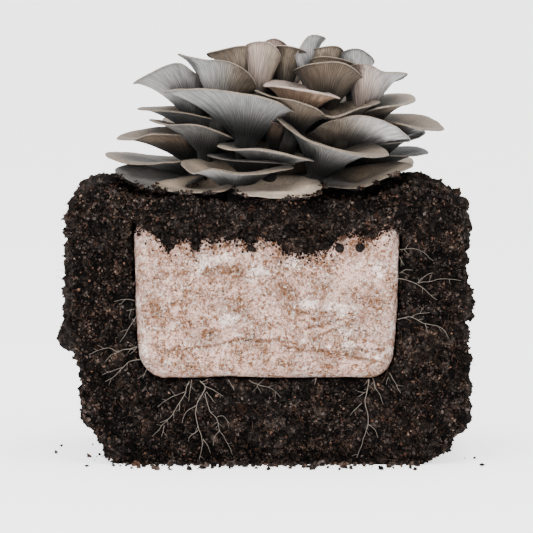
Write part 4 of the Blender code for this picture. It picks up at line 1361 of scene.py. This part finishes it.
def add_edge_crumbs(shape, rng, settings, cap_settings):
    """Grains along the front edges of the caps that touch the soil."""
    for number, mushroom in enumerate(MUSHROOMS):
        if mushroom.name not in SOILED:
            continue
        points, _, values = mushroom_shape(mushroom, number, cap_settings)
        share = (values["grain"][:, 2] - number * 9) / 2
        on_edge = (values["gill"] < 0.5) & (np.abs(share - 1) < 0.03)
        edge = points[on_edge & (points[:, 1] < points[:, 1].mean() - 0.01)]
        edge = edge[rough_noise(edge / 0.009, 2, 41) > -0.1]
        places = edge[rng.integers(0, len(edge), EDGE_CRUMBS)]
        places = places + rng.normal(size=places.shape) * (0.0012, 0.0005, 0.0002)
        sizes = 0.5 * MM + 0.9 * MM * rng.random(EDGE_CRUMBS) ** 2
        places += np.outer(sizes, (0, -0.2, -0.1))
        add_crumbs(shape, rng, places, sizes, soil_tints(places, settings, rng, 0.3))


def add_foot_crumbs(shape, rng, settings):
    """What lies loose on the floor round the soil's foot."""
    middle = (SOIL_LOW + SOIL_HIGH)[:2] / 2
    half = (SOIL_HIGH - SOIL_LOW)[:2] / 2 - (0.040, 0.008)
    for count, far, small, large in FOOT_CRUMBS:
        turn = rng.uniform(0, 2 * np.pi, count)
        way = np.stack([np.cos(turn), np.sin(turn)], 1)
        sizes = rng.uniform(small, large, count) * MM
        spread = way / np.abs(way).max(1, keepdims=True) * half
        spread = spread + way * rng.exponential(far, (count, 1))
        most = half + (0.054, 0.020)
        spread = np.clip(spread, -most, most) + rng.normal(size=(count, 2)) * 0.001
        places = np.concatenate([spread + middle, sizes[:, None] * 0.6], 1)
        tints = soil_tints(places, settings, rng, 0.3)
        add_crumbs(shape, rng, places, sizes, tints, 1 if large > 3 else 0)
    across, out = (rng.random((FRONT_CRUMBS, 2)) ** (1.0, 2.2)).T
    sizes = rng.uniform(0.6, 2.8, FRONT_CRUMBS) * MM
    x, y = -0.112 + 0.228 * across, SOIL_FRONT - 0.004 - 0.028 * out
    places = np.stack([x, y, sizes * 0.5], 1)
    add_crumbs(shape, rng, places, sizes, soil_tints(places, settings, rng, 0.3), 1)


def fibres_on(rng, settings, surface, weights):
    """Short curled root and bark fibres on the soil's surface."""
    shape = Shape()
    t = np.linspace(-0.5, 0.5, 4)[:, None]
    for weight, share in weights:
        for place, way in zip(*on_surface(rng, surface, round(settings.fibres * share), weight)):
            heading = unit(rng.normal(size=3) + way * 0.1)
            span = rng.uniform(3, 12) * MM
            curl = rng.normal(size=3) * span * 0.16
            path = place + way * 0.8 * MM + heading * span * t + curl * (t * t * 4)
            path[:, 2] = np.maximum(path[:, 2], 0.0006)
            radii = rng.uniform(0.10, 0.26) * MM * np.array((0.5, 1, 0.9, 0.4))
            light = rng.uniform(0.08, 0.6)
            shape.add(*tube(path, radii, 3), tint=np.array(settings.chip) * light)
    return shape


class GROWKIT_OT_crumbs(bpy.types.Operator):
    """Strew crumbs, clods, chips and fibres over the soil and the block's upper front"""

    bl_idname = "growkit.crumbs"
    bl_label = "Crumbs and fibres"

    def execute(self, context):
        settings = context.scene.growkit_soil
        corner = context.scene.growkit_block.corner
        earth = finish_named("damp_soil", soil_finish)
        rng = np.random.default_rng(17)
        surface = soil_surface(settings, corner)
        lines = [route for s in STRANDS for route in (s.route, *s.branches)]

        def on_front(place, way):
            clear = np.ones(len(place))
            front = place[:, 1] < SOIL_FRONT + 0.006
            for line in lines:
                clear[front & (near_line(place[:, 0], place[:, 2], line) < 0.0022)] = 0.0
            blocked = within_block(place[:, 0], place[:, 2], corner, -0.0006)
            return front * ~(blocked & (place[:, 2] < 0.183)) * clear + 1e-9

        def elsewhere(place, way):
            from_base = np.linalg.norm(place[:, :2] - BASE_CENTRE[:2], axis=1)
            hidden = (from_base < 0.075) & (way[:, 2] > 0.5)
            back = place[:, 1] > SOIL_FRONT + 0.006
            fewer = np.where(place[:, 1] > 0.09, 0.7, 1.0)
            return back * (way[:, 2] > -0.7) * ~hidden * fewer + 1e-9

        for name, weight, count in (
            ("front_crumbs", on_front, settings.front_crumbs),
            ("other_crumbs", elsewhere, settings.other_crumbs),
        ):
            shape = strewn(rng, settings, surface, weight, count)
            shape.piece(name, earth, "soil", smooth=False)
        shape = Shape()
        add_fringe(shape, rng, settings)
        add_edge_crumbs(shape, rng, settings, context.scene.growkit_mushrooms)
        add_foot_crumbs(shape, rng, settings)
        shape.piece("fallen_crumbs", earth, "soil", smooth=False)
        shape = fibres_on(rng, settings, surface, ((on_front, 0.55), (elsewhere, 0.45)))
        shape.piece("soil_fibres", earth, "soil", smooth=False)
        return {"FINISHED"}


def waver_of(path, wave, seed):
    """Noise in three directions along a path."""
    return np.stack([smooth_noise(path / wave, seed + k) for k in range(3)], 1)


def add_hairs(shape, rng, path, seed):
    """Fine hairs that leave a strand to both sides, one for every seven of its points."""
    count = len(path)
    t = np.linspace(0, 1, 6)[:, None]
    for start in rng.choice(count - 2, max(1, count // 7), replace=False):
        turn = rng.choice((-1, 1)) * rng.uniform(0.5, 1.2)
        ahead = unit(path[start + 1] - path[start]) * (1, 0, 1)
        ahead = ahead @ np.array(Matrix.Rotation(turn, 3, "Y"))
        hair = path[start] + ahead * t * rng.uniform(2.5, 7) * MM
        hair += waver_of(hair, 0.003, seed) * (1, 0.2, 1) * 0.0008 * t
        shape.add(*tube(hair, np.linspace(0.17, 0.08, 6) * MM, 4))


class GROWKIT_OT_strands(bpy.types.Operator):
    """Lay the mycelium strands and their branches on the soil's cut front"""

    bl_idname = "growkit.strands"
    bl_label = "Mycelium strands"

    def execute(self, context):
        settings = context.scene.growkit_strands
        finish = strand_finish(settings)
        rng = np.random.default_rng(29)
        for number, strand in enumerate(STRANDS):
            shape = Shape()
            for k, route in enumerate((strand.route, *strand.branches)):
                corners = [(x * MM, 0, z * MM) for x, z in route]
                count = max(6, round(smooth_path(corners, 4, False)[1] / 0.0014))
                path, _ = smooth_path(corners, count, False)
                seed = number * 10 + k
                waver = waver_of(path, 0.005, seed)
                taper = 1 - 0.75 * np.arange(count) / (count - 1)
                thick = strand.radius * MM * settings.thickness * (1.0 if k == 0 else 0.55)
                radii = thick * taper * (1 + 0.25 * waver[:, 0]) + 0.00012
                path[:, 1] = SOIL_FRONT - 0.0021 - radii * 0.5
                path += waver * (0.0007, 0.0005, 0.0007)
                shape.add(*tube(path, radii, 6))
                add_hairs(shape, rng, path, seed)
            shape.piece("laid_" + strand.name, finish, "mycelium", [strand.name])
        return {"FINISHED"}


# ---- stage


# Half the floor's side, what the lights and the camera point at, and the sensor in millimetres.
FLOOR_REACH = 40
LIGHT_TARGET = (0, 0, 0.18)
VIEW_TARGET = (0, BLOCK_FRONT, 0.1534)
SENSOR = 36
# Lights: name, place, side in metres and power in watts.
LIGHTS = (
    ("overhead_softbox", (0.1, -0.6, 1.9), 1.4, 24),
    ("front_softbox", (-0.9, -2.0, 0.9), 1.2, 34),
)


def add_light(name, place, target, size, power):
    """A soft square light that faces a place."""
    data = bpy.data.lights.new(name, "AREA")
    data.shape, data.size, data.energy = "SQUARE", size, power
    lamp = bpy.data.objects.new(name, data)
    bpy.context.scene.collection.objects.link(lamp)
    lamp.location = place
    lamp.rotation_euler = (Vector(target) - Vector(place)).to_track_quat("-Z", "Y").to_euler()


class GROWKIT_OT_stage(bpy.types.Operator):
    """Set up the floor, the soft lights and the camera"""

    bl_idname = "growkit.stage"
    bl_label = "Stage"

    def execute(self, context):
        settings = context.scene.growkit_stage
        mesh = bpy.data.meshes.new("floor")
        corners = ((-1, -1), (1, -1), (1, 1), (-1, 1))
        corners = [(x * FLOOR_REACH, y * FLOOR_REACH, 0) for x, y in corners]
        mesh.from_pydata(corners, [], [(0, 1, 2, 3)])
        mesh.materials.append(floor_finish(settings))
        floor = bpy.data.objects.new("floor", mesh)
        context.scene.collection.objects.link(floor)
        world = bpy.data.worlds.new("studio")
        context.scene.world = world
        world.use_nodes = True
        background = world.node_tree.nodes["Background"]
        background.inputs["Color"].default_value = (1, 1, 1, 1)
        background.inputs["Strength"].default_value = settings.surround
        for name, place, size, power in LIGHTS:
            add_light(name, place, LIGHT_TARGET, size, power)
        lift = settings.elevation
        back = Vector((0, -math.cos(lift), math.sin(lift)))
        data = bpy.data.cameras.new("camera")
        data.sensor_width = SENSOR
        data.lens = SENSOR * settings.distance / settings.view_width
        data.clip_end = 50
        camera = bpy.data.objects.new("camera", data)
        context.scene.collection.objects.link(camera)
        camera.location = Vector(VIEW_TARGET) + back * settings.distance
        camera.rotation_euler = (-back).to_track_quat("-Z", "Y").to_euler()
        context.scene.camera = camera
        return {"FINISHED"}


class GROWKIT_PT_panel(bpy.types.Panel):
    """Steps and settings of the grow kit"""

    bl_idname = "GROWKIT_PT_panel"
    bl_label = "Oyster mushroom grow kit"
    bl_space_type = "VIEW_3D"
    bl_region_type = "UI"
    bl_category = "Grow kit"

    def draw(self, context):
        for step in STEPS:
            self.layout.operator(step.bl_idname)
        for group in GROUPS:
            box = self.layout.box()
            settings = getattr(context.scene, group)
            for key in settings.__annotations__:
                box.prop(settings, key)


STEPS = (
    GROWKIT_OT_stage, GROWKIT_OT_mushrooms, GROWKIT_OT_stem_base, GROWKIT_OT_block,
    GROWKIT_OT_soil, GROWKIT_OT_crumbs, GROWKIT_OT_strands)
GROUPS = {
    "growkit_mushrooms": GROWKIT_PG_mushrooms,
    "growkit_block": GROWKIT_PG_block,
    "growkit_soil": GROWKIT_PG_soil,
    "growkit_strands": GROWKIT_PG_strands,
    "growkit_stage": GROWKIT_PG_stage,
}
CLASSES = (*GROUPS.values(), *STEPS, GROWKIT_PT_panel)


def register():
    for cls in CLASSES:
        bpy.utils.register_class(cls)
    for name, group in GROUPS.items():
        setattr(bpy.types.Scene, name, bpy.props.PointerProperty(type=group))


def unregister():
    for name in GROUPS:
        delattr(bpy.types.Scene, name)
    for cls in reversed(CLASSES):
        bpy.utils.unregister_class(cls)


def main():
    register()
    for obj in list(bpy.data.objects):
        if obj.type in ("CAMERA", "LIGHT") or obj.name == "Cube":
            bpy.data.objects.remove(obj)
    bpy.ops.growkit.stage()
    bpy.ops.growkit.mushrooms()
    bpy.ops.growkit.stem_base()
    bpy.ops.growkit.block()
    bpy.ops.growkit.soil()
    bpy.ops.growkit.crumbs()
    bpy.ops.growkit.strands()


if __name__ == "__main__":
    main()
